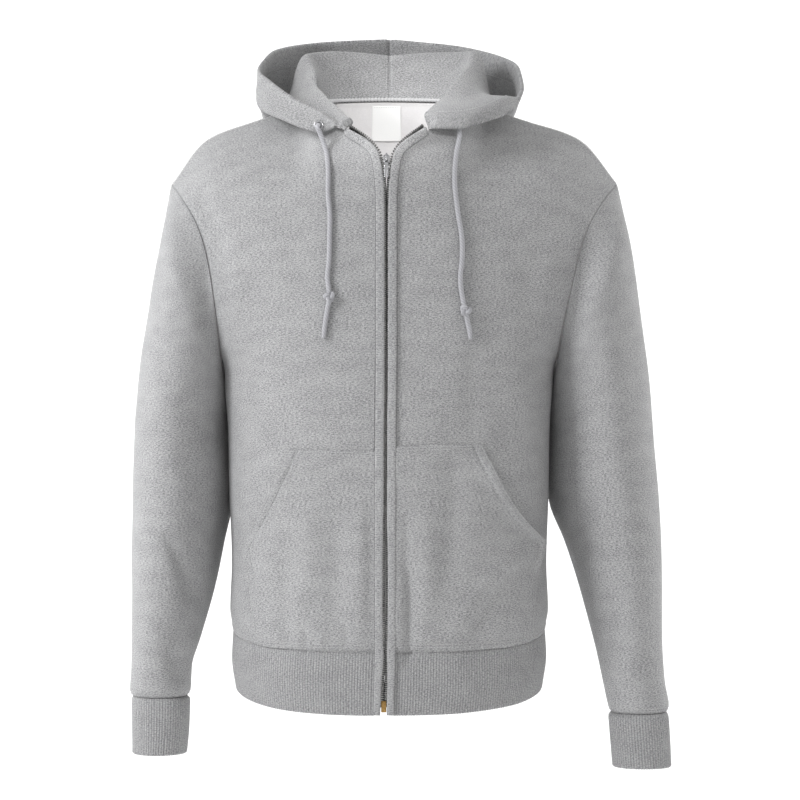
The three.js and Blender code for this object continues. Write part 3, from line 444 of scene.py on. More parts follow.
def fold_heights(points, normals):
    """How far the soft folds lift or sink each point along its normal."""
    height = np.zeros(points.shape[:-1])
    steps = np.linspace(0, 1, 15)
    x, z = points[..., 0], points[..., 2]
    for x0, z0, x1, z1, bow, wide, lift, face in FOLDS:
        swing = bow * np.sin(math.pi * steps)
        line_x = x0 + (x1 - x0) * steps + swing
        line_z = z0 + (z1 - z0) * steps
        near = (np.abs(x - (x0 + x1) / 2) < abs(x1 - x0) / 2 + 3 * wide + abs(bow))
        near &= (np.abs(z - (z0 + z1) / 2) < abs(z1 - z0) / 2 + 3 * wide)
        near &= face * normals[..., 1] > 0
        if not near.any():
            continue
        dx = x[near][:, None] - line_x
        dz = z[near][:, None] - line_z
        away = np.hypot(dx, dz)
        k = away.argmin(axis=1)
        taper = 1 - np.abs(2 * steps[k] - 1) ** 3
        reach = np.exp(-(away[np.arange(len(k)), k] / wide) ** 2)
        facing = smoothstep(face * normals[..., 1][near], 0.05, 0.55)
        height[near] += lift * taper * reach * facing
    return height


def undulation(points, seed, lift, lengths):
    """Slow unevenness of cloth, the same on each run."""
    own = np.random.default_rng(seed)
    out = np.zeros(points.shape[:-1])
    for length in lengths:
        turn = unit(own.normal(size=3)) * 2 * math.pi / length
        out += np.sin(points @ turn + own.uniform(0, 2 * math.pi))
    return out * lift / len(lengths)


def shaped(points, seed, wave):
    """Points of a tube with folds and slow waves."""
    normals = grid_normals(points, wrapped=True)
    lift = FOLD_STRENGTH * fold_heights(points, normals) + undulation(points, seed, wave, WAVES)
    return points + normals * lift[..., None]


def pulled_in(points, pull, wrapped=False):
    """The grid with its open edges drawn in."""
    out = points.copy()
    out[0] += unit(points[1] - points[0]) * pull
    out[-1] += unit(points[-2] - points[-1]) * pull
    if not wrapped:
        out[:, 0] += unit(points[:, 1] - points[:, 0]) * pull
        out[:, -1] += unit(points[:, -2] - points[:, -1]) * pull
    return out


def lengths_along(points, axis):
    """Running length along an axis, from its first point."""
    step = np.linalg.norm(np.diff(points, axis=axis), axis=-1)
    zero = np.zeros_like(np.take(step, [0], axis=axis))
    return np.concatenate([zero, np.cumsum(step, axis=axis)], axis=axis)


def edge_dip(points, wrapped=False, wide=3.0, deep=0.9, sides="tblr"):
    """Grooves along sewn edges; t, b, l and r name the last row, first row, first and last column."""
    up = lengths_along(points, 0)
    across = lengths_along(points, 1)
    dip = np.zeros(points.shape[:-1])
    edges = {"b": up, "t": up[-1:] - up, "l": across, "r": across[:, -1:] - across}
    for name, away in edges.items():
        if name in sides and not (wrapped and name in "lr"):
            dip = np.maximum(dip, np.exp(-(away / wide) ** 2))
    return -deep * dip


def even_shares(face, side, at, count, low=0.0, high=1.0):
    """Shares that space points evenly round the body at one height."""
    trial = np.linspace(low, high, 400)
    run = lengths_along(body_points(face, side, trial, np.full(400, at))[None], 1)[0]
    return np.interp(np.linspace(0, run[-1], count), run, trial)


# Meshes

def boundary(rows, columns, wrapped):
    """Closed loops of grid indices round the open edges."""
    grid = np.arange(rows * columns).reshape(rows, columns)
    if wrapped:
        return [grid[0], grid[-1][::-1]]
    return [np.concatenate([grid[0], grid[1:, -1], grid[-1, -2::-1], grid[-2:0:-1, 0]])]


def new_object(name, vertices, faces, materials, slots=None, uvs=None, smooth=True):
    """A mesh object from millimetre points; uvs are per vertex or per corner, in metres along the cloth."""
    mesh = bpy.data.meshes.new(name)
    faces = np.asarray(faces, np.int32)
    kept = faces != np.roll(faces, 1, axis=1)
    corners = kept.sum(axis=1)
    loops = faces[kept]
    count = len(faces)
    mesh.vertices.add(len(vertices))
    mesh.vertices.foreach_set("co", (np.asarray(vertices) * MM).astype(np.float32).ravel())
    mesh.loops.add(len(loops))
    mesh.loops.foreach_set("vertex_index", loops)
    mesh.polygons.add(count)
    starts = np.concatenate([[0], np.cumsum(corners)[:-1]]).astype(np.int32)
    mesh.polygons.foreach_set("loop_start", starts)
    if slots is not None:
        mesh.polygons.foreach_set("material_index", np.asarray(slots, np.int32))
    mesh.update(calc_edges=True)
    mesh.polygons.foreach_set("use_smooth", np.full(count, smooth))
    if uvs is not None:
        layer = mesh.uv_layers.new(name="cloth")
        corner_uvs = uvs.reshape(count, -1, 2)[kept] if len(uvs) != len(vertices) else uvs[loops]
        layer.data.foreach_set("uv", corner_uvs.astype(np.float32).ravel())
    for material in materials:
        mesh.materials.append(material)
    mesh.validate()
    obj = bpy.data.objects.new(name, mesh)
    bpy.context.scene.collection.objects.link(obj)
    return obj


def wall(name, outside, inside, materials, uv, wrapped=False, round_share=0.32):
    """A closed wall of cloth between two grids, with rounded rims."""
    rows, columns, _ = outside.shape
    total = rows * columns
    vertices = [outside.reshape(-1, 3), inside.reshape(-1, 3)]
    uvs = [uv.reshape(-1, 2), uv.reshape(-1, 2)]
    grid = np.arange(total).reshape(rows, columns)
    after = np.roll(grid, -1, axis=1)
    if not wrapped:
        grid, after = grid[:, :-1], after[:, :-1]
    a, b, c, d = grid[:-1], after[:-1], after[1:], grid[1:]
    outer = np.stack([a, b, c, d], -1).reshape(-1, 4)
    inner = np.stack([a, d, c, b], -1).reshape(-1, 4) + total
    faces, slots = [outer, inner], [np.zeros(len(outer)), np.ones(len(inner))]
    start = 2 * total
    for loop in boundary(rows, columns, wrapped):
        i, j = np.divmod(loop, columns)
        inward_i = np.clip(i, 1, rows - 2)
        inward_j = j if wrapped else np.clip(j, 1, columns - 2)
        edge = (outside[i, j] + inside[i, j]) / 2
        deeper = (outside[inward_i, inward_j] + inside[inward_i, inward_j]) / 2
        thick = np.linalg.norm(outside[i, j] - inside[i, j], axis=1)[:, None]
        vertices.append(edge + unit(edge - deeper) * thick * round_share)
        uvs.append(uv[i, j])
        middle = start + np.arange(len(loop))
        start += len(loop)
        low, high = loop, loop + total
        following, mid_after = np.roll(loop, -1), np.roll(middle, -1)
        rim = [np.stack([following, low, middle, mid_after], -1),
               np.stack([mid_after, middle, high, following + total], -1)]
        faces += rim
        slots += [np.zeros(len(rim[0])), np.ones(len(rim[1]))]
    vertices, uvs = np.concatenate(vertices), np.concatenate(uvs)
    faces, slots = np.concatenate(faces), np.concatenate(slots)
    corner_uvs = uvs[faces.ravel()]
    if wrapped:
        turn = 2 * uv[:, -1, 0].mean() - uv[:, -2, 0].mean()
        quads = corner_uvs.reshape(-1, 4, 2)
        split = np.ptp(quads[:, :, 0], axis=1) > turn / 2
        part = quads[split]
        part[:, :, 0] = np.where(part[:, :, 0] < turn / 2, part[:, :, 0] + turn, part[:, :, 0])
        quads[split] = part
        corner_uvs = quads.reshape(-1, 2)
    return new_object(name, vertices, faces, materials, slots, corner_uvs)


def cloth_uv(points):
    """Distances along the cloth in metres, across and up."""
    across = lengths_along(points, 1)
    up = lengths_along(points, 0)
    middle = points.shape[0] // 2
    u = across - across[:, points.shape[1] // 2][:, None] + across[middle, points.shape[1] // 2]
    return np.stack([u, up], -1) * MM


def tube(path, radius, sides, closed=False):
    """Vertices, faces and uvs of a round bar along points; radius may vary along it."""
    path = np.asarray(path, float)
    count = len(path)
    radius = np.broadcast_to(np.asarray(radius, float), (count,))
    if closed:
        along = unit(np.roll(path, -1, axis=0) - np.roll(path, 1, axis=0))
    else:
        along = unit(np.gradient(path, axis=0))
    normal = np.zeros_like(path)
    first = np.cross(along[0], [0, 0, 1.0])
    if np.linalg.norm(first) < 1e-3:
        first = np.cross(along[0], [0, 1.0, 0])
    normal[0] = unit(first)
    for i in range(1, count):
        carried = normal[i - 1] - along[i] * (normal[i - 1] @ along[i])
        normal[i] = unit(carried)
    other = np.cross(along, normal)
    angle = np.arange(sides) / sides * 2 * math.pi
    run = lengths_along(path[None], 1)[0]
    ring = (np.cos(angle)[None, :, None] * normal[:, None]
            + np.sin(angle)[None, :, None] * other[:, None])
    points = path[:, None] + ring * radius[:, None, None]
    vertices = points.reshape(-1, 3)
    grid = np.arange(count * sides).reshape(count, sides)
    if closed:
        grid = np.concatenate([grid, grid[:1]])
    after = np.roll(grid, -1, axis=1)
    faces = np.stack([grid[:-1], after[:-1], after[1:], grid[1:]], -1).reshape(-1, 4)
    around = np.arange(sides) / sides * 2 * math.pi * radius.mean()
    uv = np.stack(np.broadcast_arrays(around[None], run[:, None]), -1).reshape(-1, 2) * MM
    if not closed:
        caps, cap_uv = [], []
        total = count * sides
        for ring_row, end, direction in ((0, 0, -1), (count - 1, 1, 1)):
            centre = path[ring_row] + along[ring_row] * direction * radius[ring_row] * 0.35
            cap_uv.append(uv[ring_row * sides])
            caps.append(centre)
            hub = total + end
            row = grid[ring_row]
            nxt = np.roll(row, -1)
            hubs = np.full(sides, hub)
            quad = [row, hubs, hubs, nxt] if direction < 0 else [row, nxt, hubs, hubs]
            faces = np.concatenate([faces, np.stack(quad, -1)])
        vertices = np.concatenate([vertices, caps])
        uv = np.concatenate([uv, cap_uv])
    return vertices, faces, uv


# Materials

def colour(value):
    """A display colour such as 0x9c9c9f as linear red, green, blue and alpha."""
    parts = [(value >> shift & 255) / 255 for shift in (16, 8, 0)]
    return [c / 12.92 if c <= 0.04045 else ((c + 0.055) / 1.055) ** 2.4 for c in parts] + [1.0]


def shaded(tint, share):
    """The same colour, darker."""
    return [c * share for c in tint[:3]] + [1.0]


def group(name, inputs, outputs):
    """An empty shader group with named sockets: each is name, kind and, for inputs, a default."""
    tree = bpy.data.node_groups.new(name, "ShaderNodeTree")
    for label, kind, value in inputs:
        socket = tree.interface.new_socket(label, in_out="INPUT", socket_type=kind)
        socket.default_value = value
    for label, kind in outputs:
        tree.interface.new_socket(label, in_out="OUTPUT", socket_type=kind)
    return tree, tree.nodes.new("NodeGroupInput"), tree.nodes.new("NodeGroupOutput")


def node(tree, kind, settings=None, **inputs):
    """A node with its settings and inputs; an input that is a socket is linked."""
    made = tree.nodes.new("ShaderNode" + kind)
    for key, value in (settings or {}).items():
        setattr(made, key, value)
    for key, value in inputs.items():
        socket = made.inputs[int(key[1:])] if key[0] == "_" else made.inputs[key]
        if isinstance(value, bpy.types.NodeSocket):
            tree.links.new(value, socket)
        else:
            socket.default_value = value
    return made


def maths(tree, operation, a, b=0.0, c=0.0):
    return node(tree, "Math", {"operation": operation}, _0=a, _1=b, _2=c).outputs[0]


def cloth_place(tree, across, along):
    """The cloth's own coordinates, stretched."""
    uv = node(tree, "UVMap", {"uv_map": "cloth"}).outputs[0]
    return node(tree, "VectorMath", {"operation": "MULTIPLY"}, _0=uv, _1=(across, along, 1)).outputs[0]


def blended(tree, mix, a, b):
    made = node(tree, "Mix", {"data_type": "RGBA"}, _0=mix, _6=a, _7=b)
    return made.outputs[2]


def make_marl_group():
    """Heather yarn: short light and dark streaks across the knit, with fine wales."""
    tree, given, out = group("Heather marl", [
        ("Light", "NodeSocketColor", (0.5, 0.5, 0.5, 1)), ("Dark", "NodeSocketColor", (0.2, 0.2, 0.2, 1)),
        ("Contrast", "NodeSocketFloat", 1.0),
    ], [("Color", "NodeSocketColor"), ("Height", "NodeSocketFloat")])
    streak = node(tree, "TexNoise", {}, Vector=cloth_place(tree, 330, 1150), Scale=1.0, Detail=3.0,
                  Roughness=0.65).outputs["Fac"]
    fleck = node(tree, "TexNoise", {}, Vector=cloth_place(tree, 900, 1450), Scale=1.0, Detail=1.0,
                 Roughness=0.6).outputs["Fac"]
    cloud = node(tree, "TexNoise", {}, Vector=cloth_place(tree, 28, 60), Scale=1.0, Detail=3.0,
                 Roughness=0.5).outputs["Fac"]
    yarn = maths(tree, "MULTIPLY_ADD", maths(tree, "SUBTRACT", streak, 0.5), 2.6, 0.5)
    yarn = maths(tree, "MULTIPLY_ADD", maths(tree, "SUBTRACT", fleck, 0.5), 1.5, yarn)
    yarn = maths(tree, "MULTIPLY_ADD", maths(tree, "SUBTRACT", cloud, 0.5), 0.35, yarn)
    centred = maths(tree, "SUBTRACT", yarn, 0.5)
    spread = maths(tree, "MULTIPLY", centred, given.outputs["Contrast"])
    mixed = node(tree, "Clamp", {}, Value=maths(tree, "ADD", spread, 0.5)).outputs[0]
    tree.links.new(blended(tree, mixed, given.outputs["Dark"], given.outputs["Light"]), out.inputs["Color"])
    wale = node(tree, "TexWave", {"wave_type": "BANDS", "bands_direction": "X"},
                Vector=cloth_place(tree, 1, 1), Scale=165.0, Distortion=0.6, Detail=1.0).outputs["Fac"]
    height = maths(tree, "MULTIPLY_ADD", wale, 0.35, maths(tree, "MULTIPLY", yarn, 0.65))
    tree.links.new(height, out.inputs["Height"])
    return tree


def make_rib_group():
    """Narrow grooves between the ribs: a mask for the painted shade in them, and a height."""
    tree, _, out = group("Rib grooves", [], [("Groove", "NodeSocketFloat"), ("Height", "NodeSocketFloat")])
    uv = node(tree, "UVMap", {"uv_map": "ribs"}).outputs[0]
    turn = node(tree, "SeparateXYZ", {}, _0=uv).outputs[0]
    wave = maths(tree, "COSINE", maths(tree, "MULTIPLY", turn, 2 * math.pi))
    groove = maths(tree, "POWER", maths(tree, "MULTIPLY_ADD", wave, 0.5, 0.5), 3.0)
    tree.links.new(groove, out.inputs["Groove"])
    tree.links.new(maths(tree, "SUBTRACT", 1.0, groove), out.inputs["Height"])
    return tree


def make_pile_group():
    """Brushed loops: soft tufts and a slow unevenness."""
    tree, given, out = group("Brushed pile", [
        ("Base", "NodeSocketColor", (0.8, 0.8, 0.8, 1)), ("Shade", "NodeSocketColor", (0.6, 0.6, 0.6, 1)),
        ("Size", "NodeSocketFloat", 520.0),
    ], [("Color", "NodeSocketColor"), ("Height", "NodeSocketFloat")])
    place = node(tree, "TexCoord").outputs["Object"]
    tuft = node(tree, "TexNoise", {}, Vector=place, Scale=given.outputs["Size"], Detail=4.0,
                Roughness=0.7).outputs["Fac"]
    slow = node(tree, "TexNoise", {}, Vector=place, Scale=60.0, Detail=2.0).outputs["Fac"]
    mix = maths(tree, "MULTIPLY_ADD", maths(tree, "SUBTRACT", tuft, 0.5), 1.2,
                maths(tree, "MULTIPLY", slow, 0.9))
    mix = node(tree, "Clamp", {}, Value=mix).outputs[0]
    tree.links.new(blended(tree, mix, given.outputs["Shade"], given.outputs["Base"]), out.inputs["Color"])
    tree.links.new(tuft, out.inputs["Height"])
    return tree


def make_wear_group():
    """Polish, handling haze and fine scratches on small metal pieces."""
    tree, given, out = group("Metal wear", [
        ("Clean", "NodeSocketColor", (0.6, 0.6, 0.6, 1)), ("Dull", "NodeSocketColor", (0.4, 0.4, 0.4, 1)),
    ], [("Color", "NodeSocketColor"), ("Roughness", "NodeSocketFloat"), ("Height", "NodeSocketFloat")])
    place = node(tree, "TexCoord").outputs["Object"]
    haze = node(tree, "TexNoise", {}, Vector=place, Scale=420.0, Detail=4.0, Roughness=0.6).outputs["Fac"]
    scratch = node(tree, "TexNoise", {}, Vector=node(
        tree, "VectorMath", {"operation": "MULTIPLY"}, _0=place, _1=(2600, 2600, 240)).outputs[0],
        Scale=1.0, Detail=2.0).outputs["Fac"]
    mix = node(tree, "Clamp", {}, Value=maths(
        tree, "MULTIPLY_ADD", maths(tree, "SUBTRACT", haze, 0.5), 2.2, 0.5)).outputs[0]
    tree.links.new(blended(tree, mix, given.outputs["Clean"], given.outputs["Dull"]), out.inputs["Color"])
    rough = maths(tree, "MULTIPLY_ADD", mix, 0.22, 0.2)
    tree.links.new(rough, out.inputs["Roughness"])
    tree.links.new(scratch, out.inputs["Height"])
    return tree


def make_twist_group():
    """Twisted or braided yarn: slanting strands with loose fibres."""
    tree, given, out = group("Twisted yarn", [
        ("Light", "NodeSocketColor", (0.6, 0.6, 0.6, 1)), ("Dark", "NodeSocketColor", (0.3, 0.3, 0.3, 1)),
        ("Strands", "NodeSocketFloat", 300.0), ("Fleck", "NodeSocketFloat", 0.6),
    ], [("Color", "NodeSocketColor"), ("Height", "NodeSocketFloat")])
    place = node(tree, "UVMap", {"uv_map": "cloth"}).outputs[0]
    parts = node(tree, "SeparateXYZ", {}, _0=place)
    lean = maths(tree, "ADD", parts.outputs[0], parts.outputs[1])
    strands = maths(tree, "SINE", maths(tree, "MULTIPLY", maths(
        tree, "MULTIPLY", lean, given.outputs["Strands"]), 2 * math.pi))
    fibre = node(tree, "TexNoise", {}, Vector=place, Scale=1400.0, Detail=3.0).outputs["Fac"]
    mix = maths(tree, "MULTIPLY_ADD", strands, 0.22, 0.5)
    mix = maths(tree, "MULTIPLY_ADD", maths(tree, "SUBTRACT", fibre, 0.5), given.outputs["Fleck"], mix)
    mix = node(tree, "Clamp", {}, Value=mix).outputs[0]
    tree.links.new(blended(tree, mix, given.outputs["Dark"], given.outputs["Light"]), out.inputs["Color"])
    tree.links.new(mix, out.inputs["Height"])
    return tree


GROUPS, MATERIALS = {}, {}


def use(tree, name, **inputs):
    """One of the shared groups, placed in a material's own tree."""
    if name not in GROUPS:
        GROUPS[name] = {"marl": make_marl_group, "rib": make_rib_group, "pile": make_pile_group,
                        "wear": make_wear_group, "twist": make_twist_group}[name]()
    made = tree.nodes.new("ShaderNodeGroup")
    made.node_tree = GROUPS[name]
    for key, value in inputs.items():
        if isinstance(value, bpy.types.NodeSocket):
            tree.links.new(value, made.inputs[key])
        else:
            made.inputs[key].default_value = value
    return made.outputs


def finish_material(name, tint, bump, rough=0.9, metal=0.0, sheen=0.0, specular=0.3, lift=0.0004):
    """A material whose shader takes its colour, roughness and bump from sockets or plain values."""
    material = bpy.data.materials.new(name)
    material.use_nodes = True
    tree = material.node_tree
    shader = tree.nodes["Principled BSDF"]
    colours, height, roughness = tint(tree)
    tree.links.new(colours, shader.inputs["Base Color"])
    if roughness is None:
        shader.inputs["Roughness"].default_value = rough
    else:
        tree.links.new(roughness, shader.inputs["Roughness"])
    shader.inputs["Metallic"].default_value = metal
    shader.inputs["Sheen Weight"].default_value = sheen
    shader.inputs["Sheen Roughness"].default_value = 0.6
    shader.inputs["Specular IOR Level"].default_value = specular
    made = node(tree, "Bump", {}, Strength=bump, Distance=lift, Height=height)
    tree.links.new(made.outputs[0], shader.inputs["Normal"])
    MATERIALS[name] = material


def marl_tint(light, dark, contrast, ribbed=False):
    def tint(tree):
        yarn = use(tree, "marl", Light=light, Dark=dark, Contrast=contrast)
        if not ribbed:
            return yarn["Color"], yarn["Height"], None
        rib = use(tree, "rib")
        # Painted shade: the rib grooves are coloured with a darker copy of the dark yarn, for the shade that
        # falls in them
        deep = shaded(dark, 0.55)
        shade = maths(tree, "MULTIPLY", rib["Groove"], 0.4)
        height = maths(tree, "MULTIPLY_ADD", rib["Height"], 0.8, yarn["Height"])
        return blended(tree, shade, yarn["Color"], deep), height, None
    return tint


def pile_tint(base, shade, size):
    def tint(tree):
        pile = use(tree, "pile", Base=base, Shade=shade, Size=size)
        return pile["Color"], pile["Height"], None
    return tint


def twist_tint(light, dark, strands, fleck):
    def tint(tree):
        yarn = use(tree, "twist", Light=light, Dark=dark, Strands=strands, Fleck=fleck)
        return yarn["Color"], yarn["Height"], None
    return tint


def wear_tint(clean, dull):
    def tint(tree):
        wear = use(tree, "wear", Clean=clean, Dull=dull)
        return wear["Color"], wear["Height"], wear["Roughness"]
    return tint


# Pieces

SURFACES = {}


def placed(obj, replaces=()):
    """Tie a piece to the garment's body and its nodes."""
    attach(obj, "garment")
    if replaces:
        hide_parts(*replaces)


def dressed_body(face, side, share, at, hold=1.0):
    """Points of the front or back with its folds."""
    points = body_points(face, side, share, at)
    normals = body_normals(face, side, share, at)
    lift = FOLD_STRENGTH * fold_heights(points, normals) + undulation(points, 5, 1.0, WAVES)
    return points + normals * (lift * hold)[..., None]


def front_hold(share):
    """The folds fade out towards the zip, which stays where it is."""
    return smoothstep(np.asarray(share) * 230, 1, 10)


def fine_armhole(steps):
    """Nominal heights up the armhole seam."""
    return np.interp(np.linspace(0, 10, steps), np.arange(11), ARMHOLE_HEIGHTS)


def panel_heights(lower=78, upper=85):
    low = np.linspace(HEM_SEAM, UNDERARM, lower)
    return np.concatenate([low, fine_armhole(upper)[1:]])


def keep_surface(name, points, normals, wrapped=False):
    SURFACES[name] = (points, normals, wrapped)


def sewn_panel(name, points, thickness, materials, wrapped=False, sides="tblr", deep=0.9, wide=3.0):
    """A panel with grooves at its seams, as a wall whose outside is points."""
    normals = grid_normals(points, wrapped)
    points = points + normals * edge_dip(points, wrapped, wide, deep, sides)[..., None]
    normals = grid_normals(points, wrapped)
    keep_surface(name, points, normals, wrapped)
    outside = pulled_in(points, SEAM_PULL, wrapped)
    inside = pulled_in(points - normals * thickness, SEAM_PULL, wrapped)
    return wall(name, outside, inside, materials, cloth_uv(points), wrapped)


def cut_cloth(name):
    """Look up a piece's kept surface and close its grid if it is wrapped; nothing further is done with it."""
    points, _, wrapped = SURFACES[name]
    if wrapped:
        points = np.concatenate([points, points[:, :1]], axis=1)


def make_front(side_name, side):
    share = even_shares("front", side, -400, 76)
    at = panel_heights()
    points = dressed_body("front", side, share[None], at[:, None], front_hold(share)[None])
    if side == RIGHT:
        points = points[:, ::-1]
    name = f"cloth_front_{side_name}"
    edges = "tbr" if side == LEFT else "tbl"
    obj = sewn_panel(name, points, FLEECE, [MATERIALS["fleece"], MATERIALS["brushed inside"]], sides=edges)
    placed(obj, [f"front_{side_name}"])
    cut_cloth(name)


def make_back():
    right = even_shares("back", LEFT, -400, 76)
    share = np.concatenate([right[::-1], -right[1:]])
    at = panel_heights()
    grid = np.empty((len(at), len(share), 3))
    for side, chosen in ((LEFT, share >= 0), (RIGHT, share < 0)):
        grid[:, chosen] = dressed_body("back", side, np.abs(share[chosen])[None], at[:, None])
    obj = sewn_panel("cloth_back", grid, FLEECE, [MATERIALS["fleece"], MATERIALS["brushed inside"]])
    placed(obj, ["back"])
    cut_cloth("cloth_back")


def ring_points(rings, side, turn):
    """Points of each ring at turns from 0 to 1 round it: (K, N, 3)."""
    angle = turn[None] * 2 * math.pi
    inner, outer = rings[:, None, 0:2], rings[:, None, 2:4]
    across = (inner + outer) / 2 - (outer - inner) / 2 * np.cos(angle)[..., None]
    centre = (rings[:, 4] + rings[:, 5])[:, None] / 2
    depth = (rings[:, 5] - rings[:, 4])[:, None] / 2
    nearness = (1 + np.cos(angle)) / 2
    y = centre - depth * np.sin(angle) + rings[:, 6, None] * nearness ** TURN_POWER
    return np.stack([side * across[..., 0], y, across[..., 1]], axis=-1)


def armhole_loop(side, turn):
    """The body's armhole seam at the same turns."""
    j = turn * 20
    front = np.interp(np.minimum(j, 10), np.arange(11), ARMHOLE_HEIGHTS)
    back = np.interp(np.clip(20 - j, 0, 10), np.arange(11), ARMHOLE_HEIGHTS)
    on_front = body_points("front", side, np.ones_like(j), front)
    on_back = body_points("back", side, np.ones_like(j), back)
    loop = np.where((j <= 10)[:, None], on_front, on_back)
    from_underarm = np.minimum(j, 20 - j)
    loop[:, 0] += side * UNDERARM_GAP * np.clip(2 - from_underarm, 0, 1)
    return loop


def tube_points(rings, side, columns, spacing, armhole=False):
    """A sleeve or cuff: rows from its far end up, evenly spaced along it."""
    turn = np.arange(columns) / columns
    table = ring_points(rings, side, turn)
    if armhole:
        table = np.concatenate([armhole_loop(side, turn)[None], table])
    places = np.arange(len(table), dtype=float)
    trial = np.linspace(len(table) - 1, 0, 800)
    top = columns // 2
    run = lengths_along(monotone(places, np.repeat(table[:, top:top + 1], 800, axis=1), trial)[None], 1)[0]
    rows = int(run[-1] / spacing) + 1
    at = np.interp(np.linspace(0, run[-1], rows), run, trial)
    values = np.repeat(table[:, None], rows, axis=1).reshape(len(table), -1, 3)
    points = monotone(places, values, np.repeat(at, columns)).reshape(rows, columns, 3)
    return points if side == LEFT else points[:, ::-1]


def make_sleeve(side_name, side):
    points = tube_points(SLEEVE_RINGS[side], side, 120, 4.0, armhole=True)
    points = shaped(points, seed=7 + side, wave=0.9)
    name = f"cloth_sleeve_{side_name}"
    obj = sewn_panel(name, points, FLEECE, [MATERIALS["fleece"], MATERIALS["brushed inside"]], wrapped=True)
    placed(obj, [f"sleeve_{side_name}"])
    cut_cloth(name)


def rib_uvs(obj, turns, total_ribs):
    """A second set of uvs whose u counts ribs."""
    layer = obj.data.uv_layers.new(name="ribs")
    mesh = obj.data
    index = np.zeros(len(mesh.loops), np.int32)
    mesh.loops.foreach_get("vertex_index", index)
    u = turns[index]
    corners = np.zeros(len(mesh.polygons), np.int32)
    mesh.polygons.foreach_get("loop_total", corners)
    face = np.repeat(np.arange(len(corners)), corners)
    top = np.zeros(len(corners))
    np.maximum.at(top, face, u)
    u = np.where(top[face] - u > total_ribs / 2, u + total_ribs, u)
    layer.data.foreach_set("uv", np.stack([u, np.zeros_like(u)], -1).astype(np.float32).ravel())


def rib_relief(points, normals, turns, deep, fade):
    """Rounded ribs with narrow grooves, fading towards the seam."""
    groove = ((1 + np.cos(2 * math.pi * turns)) / 2) ** 2
    return points - normals * (deep * groove[None] * fade[:, None])[..., None]


def ribbed(name, points, turns, total_ribs, wrapped, deep, sides):
    """A doubled band with ribs on both faces."""
    normals = grid_normals(points, wrapped)
    points = points + normals * edge_dip(points, wrapped, 2.6, 0.8, sides)[..., None]
    normals = grid_normals(points, wrapped)
    rows = len(points)
    fade = smoothstep(rows - 1 - np.arange(rows), 0, 3)
    outside = rib_relief(points, normals, turns, deep, fade)
    keep_surface(name, points, normals, wrapped)
    outside = pulled_in(outside, SEAM_PULL, wrapped)
    inside_points = points - normals * DOUBLED_RIB
    inside = rib_relief(inside_points, -normals, turns, deep, fade)
    inside = pulled_in(inside, SEAM_PULL, wrapped)
    obj = wall(name, outside, inside, [MATERIALS["rib"], MATERIALS["rib"]], cloth_uv(points), wrapped, 0.5)
    grid_turns = np.broadcast_to(turns, points.shape[:2]).ravel()
    rims = [grid_turns[loop] for loop in boundary(*points.shape[:2], wrapped)]
    rib_uvs(obj, np.concatenate([grid_turns, grid_turns, *rims]), total_ribs)
    return obj


def make_cuff(side_name, side):
    ribs, per_rib = 66, 6
    columns = ribs * per_rib
    points = tube_points(CUFF_RINGS[side], side, columns, 3.2)
    points = shaped(points, seed=9 + side, wave=0.4)
    turns = np.arange(columns) / per_rib
    name = f"rib_cuff_{side_name}"
    obj = ribbed(name, points, turns, ribs, True, 0.55, "t")
    placed(obj, [f"cuff_{side_name}"])
    cut_cloth(name)


def hem_points(s, at):
    """The hem at places from 0, the left zip edge, round the back to 4, the right zip edge."""
    s, at = np.broadcast_arrays(s, at)
    out = np.empty(s.shape + (3,))
    for low, face, side, share in (
            (0, "front", LEFT, s), (1, "back", LEFT, 2 - s), (2, "back", RIGHT, s - 2),
            (3, "front", RIGHT, 4 - s)):
        part = (s >= low) & (s <= low + 1)
        hold = front_hold(share[part]) if face == "front" else np.ones(part.sum())
        out[part] = dressed_body(face, side, share[part], at[part], hold)
    return out


def make_hem(sizes):
    """The hem band in one piece from zip to zip."""
    trial = np.linspace(0, 4, 1601)
    run = lengths_along(hem_points(trial, np.full(1601, -650.0))[None], 1)[0]
    ribs, per_rib = int(run[-1] / (sizes.rib_pitch / MM)), 4
    s = np.interp(np.linspace(0, run[-1], ribs * per_rib + 1), run, trial)
    at = np.linspace(HEM_EDGE, HEM_SEAM, 19)
    points = hem_points(s[None], at[:, None])
    turns = np.arange(len(s)) / per_rib
    obj = ribbed("rib_hem", points, turns, ribs * 2, False, 0.6, "t")
    placed(obj, ["hem_rib"])
    cut_cloth("rib_hem")


# Hood

def neck_edge(side, place):
    """The hood's lower edge round the neck."""
    on_front = place <= 0.5
    share = np.where(on_front, place, 1 - place) * 2 * NECK_SHARE
    front = body_points("front", side, share, SHOULDER_SEAM)
    back = body_points("back", side, share, SHOULDER_SEAM)
    point = np.where(on_front[:, None], front, back)
    inward = unit(point * [-1, -1, 0]) * NECK_INSET
    return point + inward + [0, 0, NECK_LIFT]


def hood_points(side, place, path):
    """Points of the hood's middle surface; place and path have the same shape."""
    place, path = np.broadcast_arrays(np.asarray(place, float), np.asarray(path, float))
    flat = place.ravel()
    control = along_one(monotone, HOOD_PLACES, HOOD_SECTIONS[side], flat) * [side, 1, 1]
    values = np.concatenate([neck_edge(side, flat)[None], control.transpose(1, 0, 2)])
    return rounded(HOOD_PATH, values, path.ravel()).reshape(*place.shape, 3)


def hood_normal(side, place, path):
    step = 0.01
    across = hood_points(side, place + step, path) - hood_points(side, place - step, path)
    up = hood_points(side, place, path + step) - hood_points(side, place, path - step)
    return unit(np.cross(across, up)) * side


